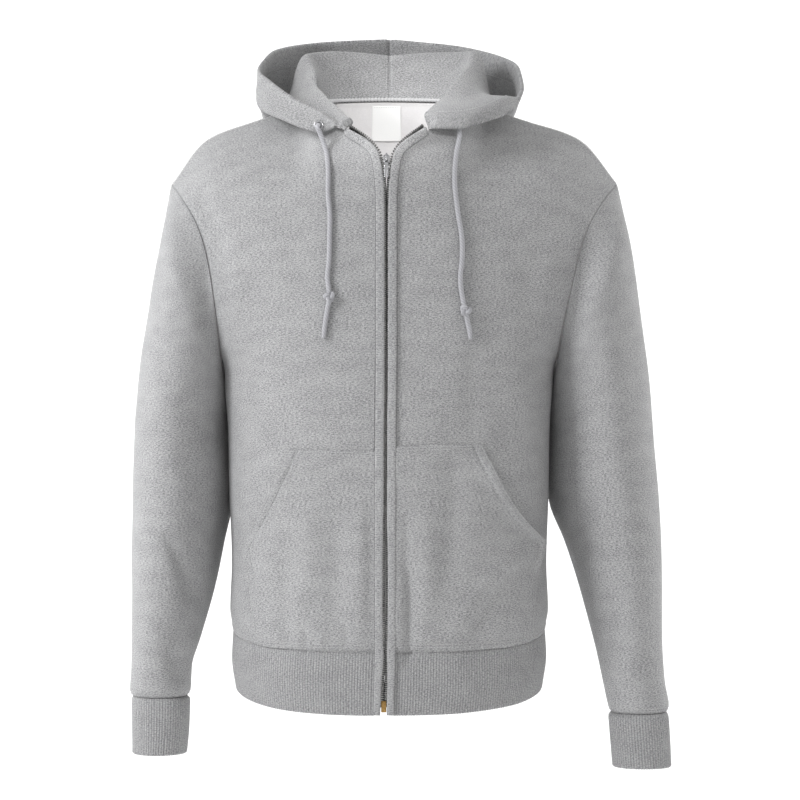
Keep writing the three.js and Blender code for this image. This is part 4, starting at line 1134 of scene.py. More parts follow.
def closed_end(points, least, reach=4.0, steps=8, apex=0.4):
    """The hood's front end: columns that draw its two layers together before the first column.

    least is the share of the opening that stays at the tip.
    """
    path = np.linspace(0, 1, len(points))
    other = np.where(path < apex, 1 - path / apex * (1 - apex), (1 - path) / (1 - apex) * apex)
    end = points[:, 0]
    facing = np.stack([np.interp(other, path, end[:, k]) for k in range(3)], -1)
    middle = (end + facing) / 2
    onward = unit((end - points[:, 4]).mean(axis=0))
    turn = np.linspace(math.pi / 2, 0, steps, endpoint=False)[:, None, None]
    columns = middle + (end - middle) * (least + (1 - least) * np.cos(turn)) + onward * reach * np.sin(turn)
    return np.concatenate([columns.transpose(1, 0, 2), points], axis=1)


def make_hood(side_name, side):
    """One half of the hood, laid back, with its casing along the rim."""
    place = np.linspace(0, 1, 130)
    path = np.linspace(0, 1, 96)
    points = hood_points(side, place[None], path[:, None])
    if side == RIGHT:
        points = points[:, ::-1]
    normals = grid_normals(points)
    lift = undulation(points, 21 + side, 0.9, HOOD_WAVES)
    lift *= smoothstep(path, 0.02, 0.2)[:, None]
    points = points + normals * lift[..., None]
    normals = grid_normals(points)
    away = lengths_along(points, 0)
    to_rim = away[-1:] - away
    casing = 0.5 * smoothstep(to_rim, 27, 21) - 0.5 * np.exp(-((to_rim - 24) / 1.6) ** 2)
    dip = edge_dip(points, sides="r" if side == LEFT else "l", wide=2.6, deep=1.1)
    half = (HOOD_WALL / 2 + casing + dip)[..., None]
    outside, inside = points + normals * half, points - normals * half
    keep_surface(f"hood_{side_name}", outside, normals)
    keep_surface(f"hood_inside_{side_name}", inside, -normals)
    outside, inside = pulled_in(outside, SEAM_PULL), pulled_in(inside, SEAM_PULL)
    outside, inside, points = (closed_end(grid[:, ::side], least)[:, ::side]
                               for grid, least in zip((outside, inside, points), HOOD_END_OPENING))
    obj = wall(f"cloth_hood_{side_name}", outside, inside, [MATERIALS["hood"], MATERIALS["hood"]],
               cloth_uv(points), False, 0.5)
    placed(obj, [f"hood_{side_name}"])
    cut_cloth(f"hood_{side_name}")


# Pockets, plackets and tape

def pocket_edge(side, z):
    """Distance across of the pocket's outer edge at each height."""
    shape = POCKETS[side]
    t = np.linspace(0, 1, 60)[:, None]
    low, top, bow = (np.array(shape[k], float) for k in ("low", "top", "bow"))
    mouth = (1 - t) ** 2 * low + 2 * t * (1 - t) * bow + t * t * top
    line = np.concatenate([[[shape["hem"][0], -720.0]], [shape["hem"]], mouth])
    return np.interp(z, line[:, 1], line[:, 0])


def make_pocket(side_name, side):
    """One patch pocket, sewn down except at its slanted mouth."""
    top = POCKETS[side]["top"][1]
    seam = body_points("front", side, 0.45, HEM_SEAM)[2]
    v = np.linspace(0, 1, 76)
    u = np.linspace(0, 1, 66)
    zip_x = ZIP_EDGE_REACH + side * zip_centre(seam + (top - seam) * v)
    z = seam + (top - seam) * v[:, None] + np.zeros(66)[None]
    edge = pocket_edge(side, z[:, 0])
    x = zip_x[:, None] + (edge - zip_x)[:, None] * u[None]
    z = z - POCKET_TOP_DIP * (1 - u)[None] * v[:, None] ** 2
    _, share, at = front_place(side * x, z)
    at = np.maximum(at, HEM_SEAM)
    points = dressed_body("front", side, share, at, front_hold(share))
    if side == RIGHT:
        points = points[:, ::-1]
    normals = grid_normals(points)
    across = lengths_along(points, 1)
    free = across[:, -1:] - across if side == LEFT else across
    mouth = smoothstep(v, 0.30, 0.52) * smoothstep(v, 1.0, 0.86)
    lift = LAY_GAP + MOUTH_LIFT[side] * np.exp(-(free / MOUTH_WIDTH) ** 2) * mouth[:, None]
    hem_line = 1.3 * np.exp(-((free - 11) / 1.5) ** 2) + 0.9 * np.exp(-((free - 2.6) / 1.0) ** 2)
    hem_line = -hem_line * smoothstep(v, 0.22, 0.34)[:, None]
    dip = edge_dip(points, sides="b", wide=3, deep=1.2)
    top_dip = edge_dip(points, sides="t", wide=2.4, deep=0.9)
    inside = points + normals * lift[..., None]
    outside = points + normals * (lift + POCKET_WALL + hem_line + dip + top_dip)[..., None]
    keep_surface(f"pocket_{side_name}", outside, normals)
    obj = wall(f"cloth_pocket_{side_name}", outside, inside,
               [MATERIALS["fleece"], MATERIALS["brushed inside"]], cloth_uv(points), False, 0.45)
    placed(obj, [f"pocket_{side_name}"])
    cut_cloth(f"pocket_{side_name}")


def zip_frames(side, at):
    """Places up the front edge with directions towards the zip's centre and off the cloth."""
    at = np.asarray(at, float)
    edge = body_points("front", side, np.zeros_like(at), at)
    along = unit(np.gradient(edge, axis=0))
    out = body_normals("front", side, np.zeros_like(at), at)
    inward = unit(np.cross(out, along)) * side
    return edge, along, unit(np.cross(along, inward)) * side, inward


def even_heights(side, low, high, spacing):
    """Nominal heights that lie evenly along the front edge."""
    trial = np.linspace(low, high, 2000)
    run = lengths_along(body_points("front", side, np.zeros(2000), trial)[None], 1)[0]
    count = int(run[-1] / spacing) + 1
    return np.interp(np.arange(count) * spacing, run, trial)


def strip(name, side, at, section, materials, waver=None, reach=None):
    """A rounded section carried up the front edge: section rows are inward, out; reach scales inward."""
    edge, _, out, inward = zip_frames(side, at)
    section = np.asarray(section, float)
    scale = np.ones(len(at)) if reach is None else reach
    points = (edge[:, None] + inward[:, None] * section[None, :, :1] * scale[:, None, None]
              + out[:, None] * section[None, :, 1:])
    if waver is not None:
        points = points + out[:, None] * waver[:, None, None]
    if side == RIGHT:
        points = points[:, ::-1]
    count, sides = points.shape[:2]
    grid = np.arange(count * sides).reshape(count, sides)
    after = np.roll(grid, -1, axis=1)
    faces = np.stack([grid[:-1], after[:-1], after[1:], grid[1:]], -1).reshape(-1, 4)
    hubs = count * sides
    vertices = np.concatenate([points.reshape(-1, 3), points[0].mean(0)[None], points[-1].mean(0)[None]])
    row, last = grid[0], grid[-1]
    low = np.stack([np.roll(row, -1), row, np.full(sides, hubs), np.full(sides, hubs)], -1)
    high = np.stack([last, np.roll(last, -1), np.full(sides, hubs + 1), np.full(sides, hubs + 1)], -1)
    around = np.concatenate([[0], np.cumsum(np.linalg.norm(np.diff(section, axis=0), axis=1))])
    run = lengths_along(edge[None], 1)[0]
    uv = np.stack(np.broadcast_arrays(around[None], run[:, None]), -1).reshape(-1, 2) * MM
    uv = np.concatenate([uv, uv[:1], uv[-1:]])
    return new_object(name, vertices, np.concatenate([faces, low, high]), materials, uvs=uv)


def rounded_section(a, b, c, d, steps=20, power=0.55):
    """A soft-cornered section from a to b inward and c to d out."""
    angle = np.arange(steps) / steps * 2 * math.pi - math.pi / 2
    x = np.sign(np.cos(angle)) * np.abs(np.cos(angle)) ** power
    y = np.sign(np.sin(angle)) * np.abs(np.sin(angle)) ** power
    return np.stack([(a + b) / 2 + x * (b - a) / 2, (c + d) / 2 + y * (d - c) / 2], -1)


# How far the plackets reach over the zip, where it gapes: at, share
PLACKET_REACH = np.array([[-690, 0.80], [-655, 0.83], [-618, 1.02], [-600, 0.92], [-560, 0.87],
                          [-510, 0.9], [-460, 0.98], [-300, 1.0], [-10, 1.0]])
STRIP_SPACING = 4.0


def make_placket(side_name, side):
    """One placket with the half of the zip's tape behind it."""
    at = even_heights(side, HEM_EDGE, SHOULDER_SEAM - 1, STRIP_SPACING)
    section = rounded_section(-0.8, 9.2, -0.6, 3.8)
    run = np.arange(len(at)) * STRIP_SPACING
    waver = 0.35 * np.sin(run / 31 + side) + 0.25 * np.sin(run / 13 + 2 * side)
    reach = np.interp(at, PLACKET_REACH[:, 0], PLACKET_REACH[:, 1]) + 0.012 * np.sin(run / 17 + side)
    obj = strip(f"cloth_placket_{side_name}", side, at, section, [MATERIALS["fleece"]], waver, reach)
    placed(obj, [f"placket_{side_name}"])
    at = at[2:]
    # Wider below the slider, so that the two tapes close the gap behind the teeth
    closed = 1 + 0.36 * smoothstep(-at, 62, 75) + 0.16 * smoothstep(-at, 640, 680)
    section = rounded_section(-4, 7.8, -4.9, -4.0, 12, 0.3)
    tape = strip(f"woven_tape_{side_name}", side, at, section, [MATERIALS["tape"]], reach=closed)
    placed(tape, [f"zip_tape_{side_name}"])


def make_teeth(side_name, side, pitch):
    """One tooth: stations inward, half height along the zip, half depth; clamps on the tape's edge."""
    stations = np.array([[6.6, 0.55, 1.45], [7.6, 0.66, 1.6], [9.2, 0.7, 1.45], [10.4, 0.62, 1.2],
                         [11.0, 0.4, 0.75]])
    at = even_heights(side, HEM_EDGE + 10, SHOULDER_SEAM - 4, pitch)
    if side == RIGHT:
        at = (at[1:] + at[:-1]) / 2
    edge, along, out, inward = zip_frames(side, at)
    signs = np.array([[-1, -1], [1, -1], [1, 1], [-1, 1]], float)
    middle = -4.1
    points = (edge[:, None, None] + inward[:, None, None] * stations[None, :, None, :1]
              + along[:, None, None] * (signs[None, None, :, :1] * stations[None, :, None, 1:2])
              + out[:, None, None] * (signs[None, None, :, 1:] * stations[None, :, None, 2:] + middle))
    teeth, rings = points.shape[0], points.shape[1]
    base = np.arange(teeth)[:, None, None] * rings * 4
    ring = np.arange(rings * 4).reshape(rings, 4)
    after = np.roll(ring, -1, axis=1)
    sides = np.stack([ring[:-1], after[:-1], after[1:], ring[1:]], -1).reshape(-1, 4)
    caps = np.array([ring[0][::-1], ring[-1]])
    faces = (base + np.concatenate([sides, caps])[None]).reshape(-1, 4)
    if side == LEFT:
        faces = faces[:, ::-1]
    obj = new_object(f"metal_teeth_{side_name}", points.reshape(-1, 3), faces, [MATERIALS["teeth"]],
                     smooth=False)
    placed(obj, [f"zip_teeth_{side_name}"])


# Cords and their knots

def on_front(x, z, distance):
    """The front's dressed surface at a distance across and height, moved out."""
    x, z = np.atleast_1d(x).astype(float), np.atleast_1d(z).astype(float)
    side, share, at = front_place(x, z)
    normals = body_normals("front", side, share, at)
    return body_points("front", side, share, at) + normals * distance


def eyelet_frame(side):
    place, path, gap = EYELET_PLACES[side]
    out = hood_normal(side, np.array([place]), np.array([path]))[0]
    centre = hood_points(side, np.array([place]), np.array([path]))[0]
    return centre + out * (HOOD_WALL / 2 + gap), out


def smooth_path(points, spacing):
    """A centripetal curve through points, evenly spaced."""
    points = np.asarray(points, float)
    ghost = np.concatenate([[2 * points[0] - points[1]], points, [2 * points[-1] - points[-2]]])
    knots = np.concatenate([[0], np.cumsum(np.sqrt(np.linalg.norm(np.diff(ghost, axis=0), axis=1)))])
    out = []
    for i in range(1, len(ghost) - 2):
        t = np.linspace(knots[i], knots[i + 1], 40, endpoint=False)[:, None]
        t0, t1, t2, t3 = knots[i - 1:i + 3]
        p0, p1, p2, p3 = ghost[i - 1:i + 3]
        a1 = (t1 - t) / (t1 - t0) * p0 + (t - t0) / (t1 - t0) * p1
        a2 = (t2 - t) / (t2 - t1) * p1 + (t - t1) / (t2 - t1) * p2
        a3 = (t3 - t) / (t3 - t2) * p2 + (t - t2) / (t3 - t2) * p3
        b1 = (t2 - t) / (t2 - t0) * a1 + (t - t0) / (t2 - t0) * a2
        b2 = (t3 - t) / (t3 - t1) * a2 + (t - t1) / (t3 - t1) * a3
        out.append((t2 - t) / (t2 - t1) * b1 + (t - t1) / (t2 - t1) * b2)
    line = np.concatenate([*out, points[-1:]])
    run = lengths_along(line[None], 1)[0]
    steps = int(run[-1] / spacing) + 1
    even = np.linspace(0, run[-1], steps)
    return np.stack([np.interp(even, run, line[:, k]) for k in range(3)], -1), run[-1]


def braided(path, radius, sides=20, plaits=4, pitch=9.0, relief=0.22):
    """A tube whose surface is lifted where slanting strands cross."""
    vertices, faces, uv = tube(path, radius, sides)
    count = len(path)
    ring = vertices[:count * sides].reshape(count, sides, 3)
    run = lengths_along(np.asarray(path)[None], 1)[0]
    angle = np.arange(sides) / sides * 2 * math.pi
    a = np.cos(plaits * angle[None] + 2 * math.pi * run[:, None] / pitch * plaits / 2)
    b = np.cos(plaits * angle[None] - 2 * math.pi * run[:, None] / pitch * plaits / 2)
    lift = relief * (np.maximum(a, b) - 0.4)
    ring += (ring - np.asarray(path)[:, None]) / np.reshape(radius, (-1, 1, 1)) * lift[..., None]
    return vertices, faces, uv


def make_cord(side_name, side):
    route = CORD_ROUTES[side]
    centre, out = eyelet_frame(side)
    emerging = centre + out * (EYELET["thick"] + 1.6 * CORD_RADIUS) - [0, 0, CORD_RADIUS]
    chest = np.array(route["chest"])
    knot = on_front(route["knot"][0], route["knot"][1], KNOT_HALF[1] + 0.7)[0]
    tail = np.array(route["tail"])
    stops = [centre[None], (centre + out * (EYELET["thick"] + 0.5))[None], emerging[None],
             np.array(route["lead"], float), on_front(chest[:, 0], chest[:, 1], CORD_RADIUS + 0.7),
             knot[None], on_front(tail[:, 0], tail[:, 1], CORD_RADIUS + 0.7)]
    path, length = smooth_path(np.concatenate(stops), 0.9)
    count = len(path)
    radius = np.full(count, CORD_RADIUS - 0.15)
    radius[-9:] = np.linspace(CORD_RADIUS - 0.15, CORD_RADIUS - 0.9, 9)
    vertices, faces, uv = braided(path, radius)
    cord = new_object(f"drawcord_{side_name}", vertices, faces, [MATERIALS["cord"]], uvs=uv)
    placed(cord, [f"cord_{side_name}", f"tail_{side_name}"])
    knot_obj = make_knot(side_name, side, knot)


def make_knot(side_name, side, centre):
    """A tight overhand knot."""
    t = np.linspace(0, 2 * math.pi, 150, endpoint=False)
    loop = np.stack([np.sin(t) + 2 * np.sin(2 * t), -np.sin(3 * t) * 1.3, np.cos(t) - 2 * np.cos(2 * t)], -1)
    strand = 2.5
    size = np.abs(loop).max(axis=0)
    loop = loop / size * (KNOT_HALF - strand) * [1.0, 1.0, 1.08]
    lean = 0.35 * side
    turn = np.array([[math.cos(lean), 0, math.sin(lean)], [0, 1, 0], [-math.sin(lean), 0, math.cos(lean)]])
    loop = loop @ turn.T + centre
    vertices, faces, uv = tube(loop, strand, 16, closed=True)
    obj = new_object(f"cord_knot_{side_name}", vertices, faces, [MATERIALS["cord"]], uvs=uv)
    placed(obj, [f"knot_{side_name}"])
    return obj


# Stitching

def sample(name, rows, columns):
    """Points and normals of a kept surface at fractional rows and columns."""
    points, normals, wrapped = SURFACES[name]
    i = np.clip(np.floor(rows).astype(int), 0, points.shape[0] - 2)
    if wrapped:
        j = np.floor(columns).astype(int) % points.shape[1]
        k = (j + 1) % points.shape[1]
    else:
        j = np.clip(np.floor(columns).astype(int), 0, points.shape[1] - 2)
        k = j + 1
    a = (rows - i)[:, None]
    b = (columns - np.floor(columns) if wrapped else columns - j)[:, None]
    mix = []
    for table in (points, normals):
        low = table[i, j] * (1 - b) + table[i, k] * b
        high = table[i + 1, j] * (1 - b) + table[i + 1, k] * b
        mix.append(low * (1 - a) + high * a)
    return mix[0], unit(mix[1])


def stitches_along(points, normals, length=2.6, gap=0.9, radius=0.33, lift=0.12):
    """Vertices and faces of a row of thread stitches along a line on the cloth."""
    run = lengths_along(points[None], 1)[0]
    starts = np.arange(0, run[-1] - length, length + gap)
    if len(starts) == 0:
        return np.zeros((0, 3)), np.zeros((0, 4), int)
    rings, sides = 5, 6
    places = starts[:, None] + np.linspace(0, 1, rings)[None] * length
    at = np.stack([np.interp(places, run, points[:, k]) for k in range(3)], -1)
    out = unit(np.stack([np.interp(places, run, normals[:, k]) for k in range(3)], -1))
    along = unit(np.gradient(at, axis=1))
    across = np.cross(along, out)
    arch = np.array([-0.9, 0.6, 1.0, 0.6, -0.9]) * radius
    thick = np.array([0.55, 1.0, 1.0, 1.0, 0.55]) * radius
    centre = at + out * (lift + arch)[None, :, None]
    angle = np.arange(sides) / sides * 2 * math.pi
    ring = (np.cos(angle)[None, None, :, None] * across[:, :, None]
            + np.sin(angle)[None, None, :, None] * out[:, :, None]) * thick[None, :, None, None]
    vertices = (centre[:, :, None] + ring).reshape(-1, 3)
    base = np.arange(rings * sides).reshape(rings, sides)
    after = np.roll(base, -1, axis=1)
    quads = np.stack([base[:-1], after[:-1], after[1:], base[1:]], -1).reshape(-1, 4)
    caps = np.array([[base[0][0], base[0][5], base[0][4], base[0][3]],
                     [base[0][0], base[0][3], base[0][2], base[0][1]],
                     [base[-1][0], base[-1][1], base[-1][2], base[-1][3]],
                     [base[-1][0], base[-1][3], base[-1][4], base[-1][5]]])
    faces = np.concatenate([quads, caps])[None] + np.arange(len(starts))[:, None, None] * rings * sides
    return vertices, faces.reshape(-1, 4)


def sew(name, lines, slot, **settings):
    """One object of all the stitches along several lines."""
    vertices, faces, total = [], [], 0
    for points, normals in lines:
        v, f = stitches_along(points, normals, **settings)
        vertices.append(v)
        faces.append(f + total)
        total += len(v)
    vertices, faces = np.concatenate(vertices), np.concatenate(faces)
    uv = vertices[:, [0, 2]] * MM
    obj = new_object(name, vertices, faces, [MATERIALS["thread"]], uvs=uv)
    placed(obj)


def line_at_distance(name, edge, distance, low=0.0, high=1.0, steps=400):
    """A line on a kept surface that stays a distance from one of its edges."""
    points, _, wrapped = SURFACES[name]
    rows, columns = points.shape[:2]
    if edge in "tb":
        run = lengths_along(points, 0)
        place = np.linspace(low, high, steps) * (columns if wrapped else columns - 1)
        near = np.minimum(place.astype(int), columns - 1)
        wanted = run[-1][near] - distance if edge == "t" else np.full(steps, float(distance))
        found = np.array([np.interp(w, run[:, j], np.arange(rows)) for w, j in zip(wanted, near)])
        found = np.convolve(np.pad(found, 3, mode="edge"), np.ones(7) / 7, mode="valid")
        return sample(name, found, place)
    run = lengths_along(points, 1)
    place = np.linspace(low, high, steps) * (rows - 1)
    near = np.minimum(place.astype(int), rows - 1)
    wanted = run[near, -1] - distance if edge == "r" else np.full(steps, float(distance))
    found = np.array([np.interp(w, run[i], np.arange(columns)) for w, i in zip(wanted, near)])
    return sample(name, place, found)


def beyond_pocket(side_name, side):
    """How far along the front's lower edge the pocket reaches, from 0 to 1 in column order."""
    points = SURFACES[f"cloth_front_{side_name}"][0]
    across = side * points[0, :, 0]
    edge = abs(POCKETS[side]["hem"][0])
    part = np.abs(across - edge).argmin() / (points.shape[1] - 1)
    return (part, 1.0) if side == LEFT else (0.0, part)


def above_pocket(side_name, side):
    points = SURFACES[f"cloth_front_{side_name}"][0]
    column = 0 if side == LEFT else -1
    top = POCKETS[side]["top"][1] + 1
    return np.abs(points[:, column, 2] - top).argmin() / (points.shape[0] - 1)


def stitch_sizes(sizes):
    """The stitches' chosen sizes in millimetres."""
    return {"length": sizes.stitch_length / MM, "gap": sizes.stitch_gap / MM,
            "radius": sizes.thread / MM}


def sew_body(sizes):
    """The rows of stitches on the panels, sleeves and hood."""
    thread = stitch_sizes(sizes)
    hem, arms, edges, casing = [], [], [], []
    for side_name, side in SIDES:
        front, pocket = f"cloth_front_{side_name}", f"pocket_{side_name}"
        low, high = beyond_pocket(side_name, side)
        for away in (3.4, 7.0):
            hem.append(line_at_distance(front, "b", away, low, high))
            hem.append(line_at_distance(pocket, "b", away, 0.02, 0.98))
        sleeve = f"cloth_sleeve_{side_name}"
        for away in (3.2, 6.6):
            arms.append(line_at_distance(sleeve, "b", away, steps=500))
        arms.append(line_at_distance(sleeve, "t", 3.0, steps=900))
        zip_edge = "l" if side == LEFT else "r"
        edges.append(line_at_distance(front, zip_edge, 2.4, above_pocket(side_name, side), 0.985))
        edges.append(line_at_distance(pocket, zip_edge, 2.4, 0.02, 0.985))
        for name in (f"hood_{side_name}", f"hood_inside_{side_name}"):
            casing.append(line_at_distance(name, "t", 24.0, 0.015, 0.985))
        centre = "r" if side == LEFT else "l"
        casing.append(line_at_distance(f"hood_inside_{side_name}", centre, 3.4, 0.04, 0.9))
    for away in (3.4, 7.0):
        hem.append(line_at_distance("cloth_back", "b", away, steps=900))
    sew("stitches_hem", hem, "fleece", **thread)
    sew("stitches_sleeves", arms, "fleece", **thread)
    sew("stitches_zip_edges", edges, "fleece", **thread)
    sew("stitches_hood", casing, "hood_fleece", **thread)


def sew_pockets(sizes):
    """The rows of stitches round the pockets."""
    thread = stitch_sizes(sizes)
    lines = []
    for side_name, side in SIDES:
        name = f"pocket_{side_name}"
        free = "r" if side == LEFT else "l"
        for edge, away, low, high in ((free, 2.2, 0.02, 0.985), (free, 11.0, 0.3, 0.99),
                                      ("t", 2.2, 0.02, 0.98), ("t", 5.0, 0.02, 0.98)):
            lines.append(line_at_distance(name, edge, away, low, high))
    sew("stitches_pockets", lines, "fleece", **thread)


def make_neck_roll():
    """The overlocked seam inside the back of the neck: a soft roll with thread wound over it."""
    place = np.linspace(0.53, 0.999, 90)
    sides = []
    for side in (LEFT, RIGHT):
        line = neck_edge(side, place)
        inward = unit(line * [-1, -1, 0])
        sides.append(line + inward * 5.0 + [0, 0, -0.6])
    spacing, thread_pitch = 0.8, 4.2
    path, _ = smooth_path(np.concatenate([sides[0], sides[1][::-1]]), spacing)
    run = np.arange(len(path)) * spacing
    radius = 2.3 + 0.5 * np.sin(run * 2 * math.pi / thread_pitch)
    vertices, faces, uv = tube(path, radius, 12)
    obj = new_object("overlocked_neck_seam", vertices, faces, [MATERIALS["thread"]], uvs=uv)
    placed(obj)


def make_label():
    """A bare woven label, sewn in under the neck seam."""
    u, v = np.linspace(-1, 1, 30), np.linspace(0, 1, 40)
    share = np.abs(u)[None] * np.where(u[None] < 0, 0.066, 0.044) + np.zeros((40, 1))
    at = -54 + 40 * v[:, None] + np.zeros((1, 30))
    grid, out = np.empty((40, 30, 3)), np.empty((40, 30, 3))
    for side, chosen in ((RIGHT, u < 0), (LEFT, u >= 0)):
        grid[:, chosen] = body_points("back", side, share[:, chosen], at[:, chosen])
        out[:, chosen] = body_normals("back", side, share[:, chosen], at[:, chosen])
    curl = 1.1 * (1 - v[:, None]) ** 3 * (0.6 + 0.4 * np.cos(u[None] * 2))
    front = grid - out * (FLEECE + 2 * LAY_GAP + 0.75 + curl)[..., None]
    back = grid - out * (FLEECE + 2 * LAY_GAP + 0.1 + curl)[..., None]
    keep_surface("label", front, -out)
    obj = wall("woven_label", front, back, [MATERIALS["label"]] * 2, cloth_uv(front), False, 0.3)
    placed(obj, ["neck_label"])
    lines = [line_at_distance("label", "t", 1.6, 0.04, 0.96)]
    sew("stitches_label", lines, "label", length=2.0, gap=0.8, radius=0.22, lift=0.05)


def dress_hardware():
    """Rounded edges and worn metal on the small hard pieces."""
    nodes = frame["nodes"]
    for name, material, wide in (
            ("zip_slider", "nickel", 0.35), ("pull_tab", "nickel", 0.3), ("eyelet_left", "nickel", 0.4),
            ("eyelet_right", "nickel", 0.4), ("zip_box", "brass", 0.5)):
        obj = nodes[name]
        weld = obj.modifiers.new("Weld", "WELD")
        weld.merge_threshold = 2e-5
        bevel = obj.modifiers.new("Bevel", "BEVEL")
        bevel.width = wide * MM
        bevel.segments = 3
        bevel.limit_method = "ANGLE"
        bevel.angle_limit = math.radians(35)
        obj.data.materials.clear()
        obj.data.materials.append(MATERIALS[material])
        for polygon in obj.data.polygons:
            polygon.use_smooth = True


# Stage

def shape_light(name, place, aim, size, power, tint=(1, 1, 1)):
    light = bpy.data.lights.new(name, "AREA")
    light.energy = power
    light.color = tint
    light.size = size
    obj = bpy.data.objects.new(name, light)
    obj.location = place
    obj.rotation_euler = (Vector(aim) - Vector(place)).to_track_quat("-Z", "Y").to_euler()
    bpy.context.scene.collection.objects.link(obj)


def make_backdrop(settings):
    """A pale floor that curves up into a wall behind."""
    rows = [(-6.0, 0.0), (1.4, 0.0)]
    rows += [(1.4 + 1.2 * math.sin(a), 1.2 - 1.2 * math.cos(a)) for a in np.linspace(0.1, math.pi / 2, 14)]
    rows.append((2.6, 6.0))
    vertices, faces = [], []
    for i, (y, z) in enumerate(rows):
        vertices += [(-9.0, y, z - settings.floor_drop), (9.0, y, z - settings.floor_drop)]
        if i:
            faces.append((2 * i - 2, 2 * i - 1, 2 * i + 1, 2 * i))
    mesh = bpy.data.meshes.new("backdrop")
    mesh.from_pydata(vertices, [], faces)
    for polygon in mesh.polygons:
        polygon.use_smooth = True
    material = bpy.data.materials.new("Pale paper")
    material.use_nodes = True
    tree = material.node_tree
    shader = tree.nodes["Principled BSDF"]
    place = node(tree, "TexCoord").outputs["Object"]
    grain = node(tree, "TexNoise", {}, Vector=place, Scale=3.0).outputs["Fac"]
    tree.links.new(blended(tree, grain, colour(0xf7f7f7), colour(0xfbfbfb)), shader.inputs["Base Color"])
    shader.inputs["Roughness"].default_value = 0.95
    mesh.materials.append(material)
    obj = bpy.data.objects.new("backdrop", mesh)
    bpy.context.scene.collection.objects.link(obj)


def make_stage(settings):
    """World, lights and the photograph's camera."""
    scene = bpy.context.scene
    make_backdrop(settings)
    world = bpy.data.worlds.new("Studio")
    world.use_nodes = True
    world.node_tree.nodes["Background"].inputs["Color"].default_value = (1, 1, 1, 1)
    world.node_tree.nodes["Background"].inputs["Strength"].default_value = settings.ambient
    scene.world = world
    shape_light("key", (-2.15, -1.4, 0.95), (0, 0, -0.35), 0.85, settings.key_power, (0.98, 0.985, 1))
    shape_light("fill", (1.6, -3.6, 0.1), (0, 0, -0.4), 2.0, settings.fill_power, (1, 0.97, 0.93))
    neck = bpy.data.lights.new("neck", "SPOT")
    neck.energy = settings.neck_power
    neck.spot_size = math.radians(9.0)
    neck.spot_blend = 0.7
    neck.shadow_soft_size = 0.05
    obj = bpy.data.objects.new("neck", neck)
    obj.location = (-0.05, -1.5, 0.42)
    obj.rotation_euler = (Vector((0.0, 0.09, -0.01)) - obj.location).to_track_quat("-Z", "Y").to_euler()
    scene.collection.objects.link(obj)
    shape_light("backdrop_left", (-2.6, 0.9, 0.6), (-0.6, 2.6, -0.2), 1.6, settings.back_power)
    shape_light("backdrop_right", (2.6, 0.9, 0.6), (0.6, 2.6, -0.2), 1.6, settings.back_power)
    camera = bpy.data.cameras.new("camera")
    camera.lens = settings.lens
    camera.sensor_width = 36.0
    obj = bpy.data.objects.new("camera", camera)
    obj.location = (0.013, -3.0, -0.336)
    obj.rotation_euler = (math.pi / 2, 0, 0)
    scene.collection.objects.link(obj)
    scene.camera = obj
    scene.view_settings.view_transform = "Standard"


# Add-on

class HoodieSizes(bpy.types.PropertyGroup):
    rib_pitch: FloatProperty(name="Rib pitch", description="Width of one rib of the hem", default=0.0032,
                             unit="LENGTH")
    tooth_pitch: FloatProperty(name="Tooth pitch", description="Spacing of the zip teeth", default=0.0024,
                               unit="LENGTH")
    stitch_length: FloatProperty(name="Stitch length", description="Thread showing in one stitch",
                                 default=0.0026, unit="LENGTH")
    stitch_gap: FloatProperty(name="Stitch gap", description="Cloth showing between stitches",
                              default=0.0009, unit="LENGTH")
    thread: FloatProperty(name="Thread radius", description="Half the thickness of the thread",
                          default=0.00033, unit="LENGTH")


class HoodieColours(bpy.types.PropertyGroup):
    marl_light: FloatVectorProperty(name="Light yarn", description="Lighter streaks of the marl", size=3,
                                    subtype="COLOR", default=colour(0xbfbfbf)[:3])
    marl_dark: FloatVectorProperty(name="Dark yarn", description="Darker streaks of the marl", size=3,
                                   subtype="COLOR", default=colour(0x757577)[:3])
    lining: FloatVectorProperty(name="Brushed inside", description="The pale brushed inside", size=3,
                                subtype="COLOR", default=colour(0xeceaea)[:3])
    stitching: FloatVectorProperty(name="Thread", description="The sewing thread", size=3,
                                   subtype="COLOR", default=colour(0xcdcdce)[:3])
    metal: FloatVectorProperty(name="Metal", description="Slider, teeth and eyelets", size=3,
                               subtype="COLOR", default=colour(0xb9b9bb)[:3])


class HoodieStage(bpy.types.PropertyGroup):
    lens: FloatProperty(name="Lens", description="Focal length in millimetres", default=113.9)
    floor_drop: FloatProperty(name="Floor drop", description="How far the floor lies below the origin",
                              default=1.05, unit="LENGTH")
    ambient: FloatProperty(name="Ambient", description="Brightness of the soft light all round", default=0.6)
    key_power: FloatProperty(name="Key", description="Power of the light at the left", default=50.0)
    fill_power: FloatProperty(name="Fill", description="Power of the light at the right", default=4.0)
    neck_power: FloatProperty(name="Neck", description="Power of the small light on the neck", default=80.0)
    back_power: FloatProperty(name="Backdrop", description="Power of the lights on the backdrop",
                              default=45.0)


def opaque(value):
    return [*value, 1.0]


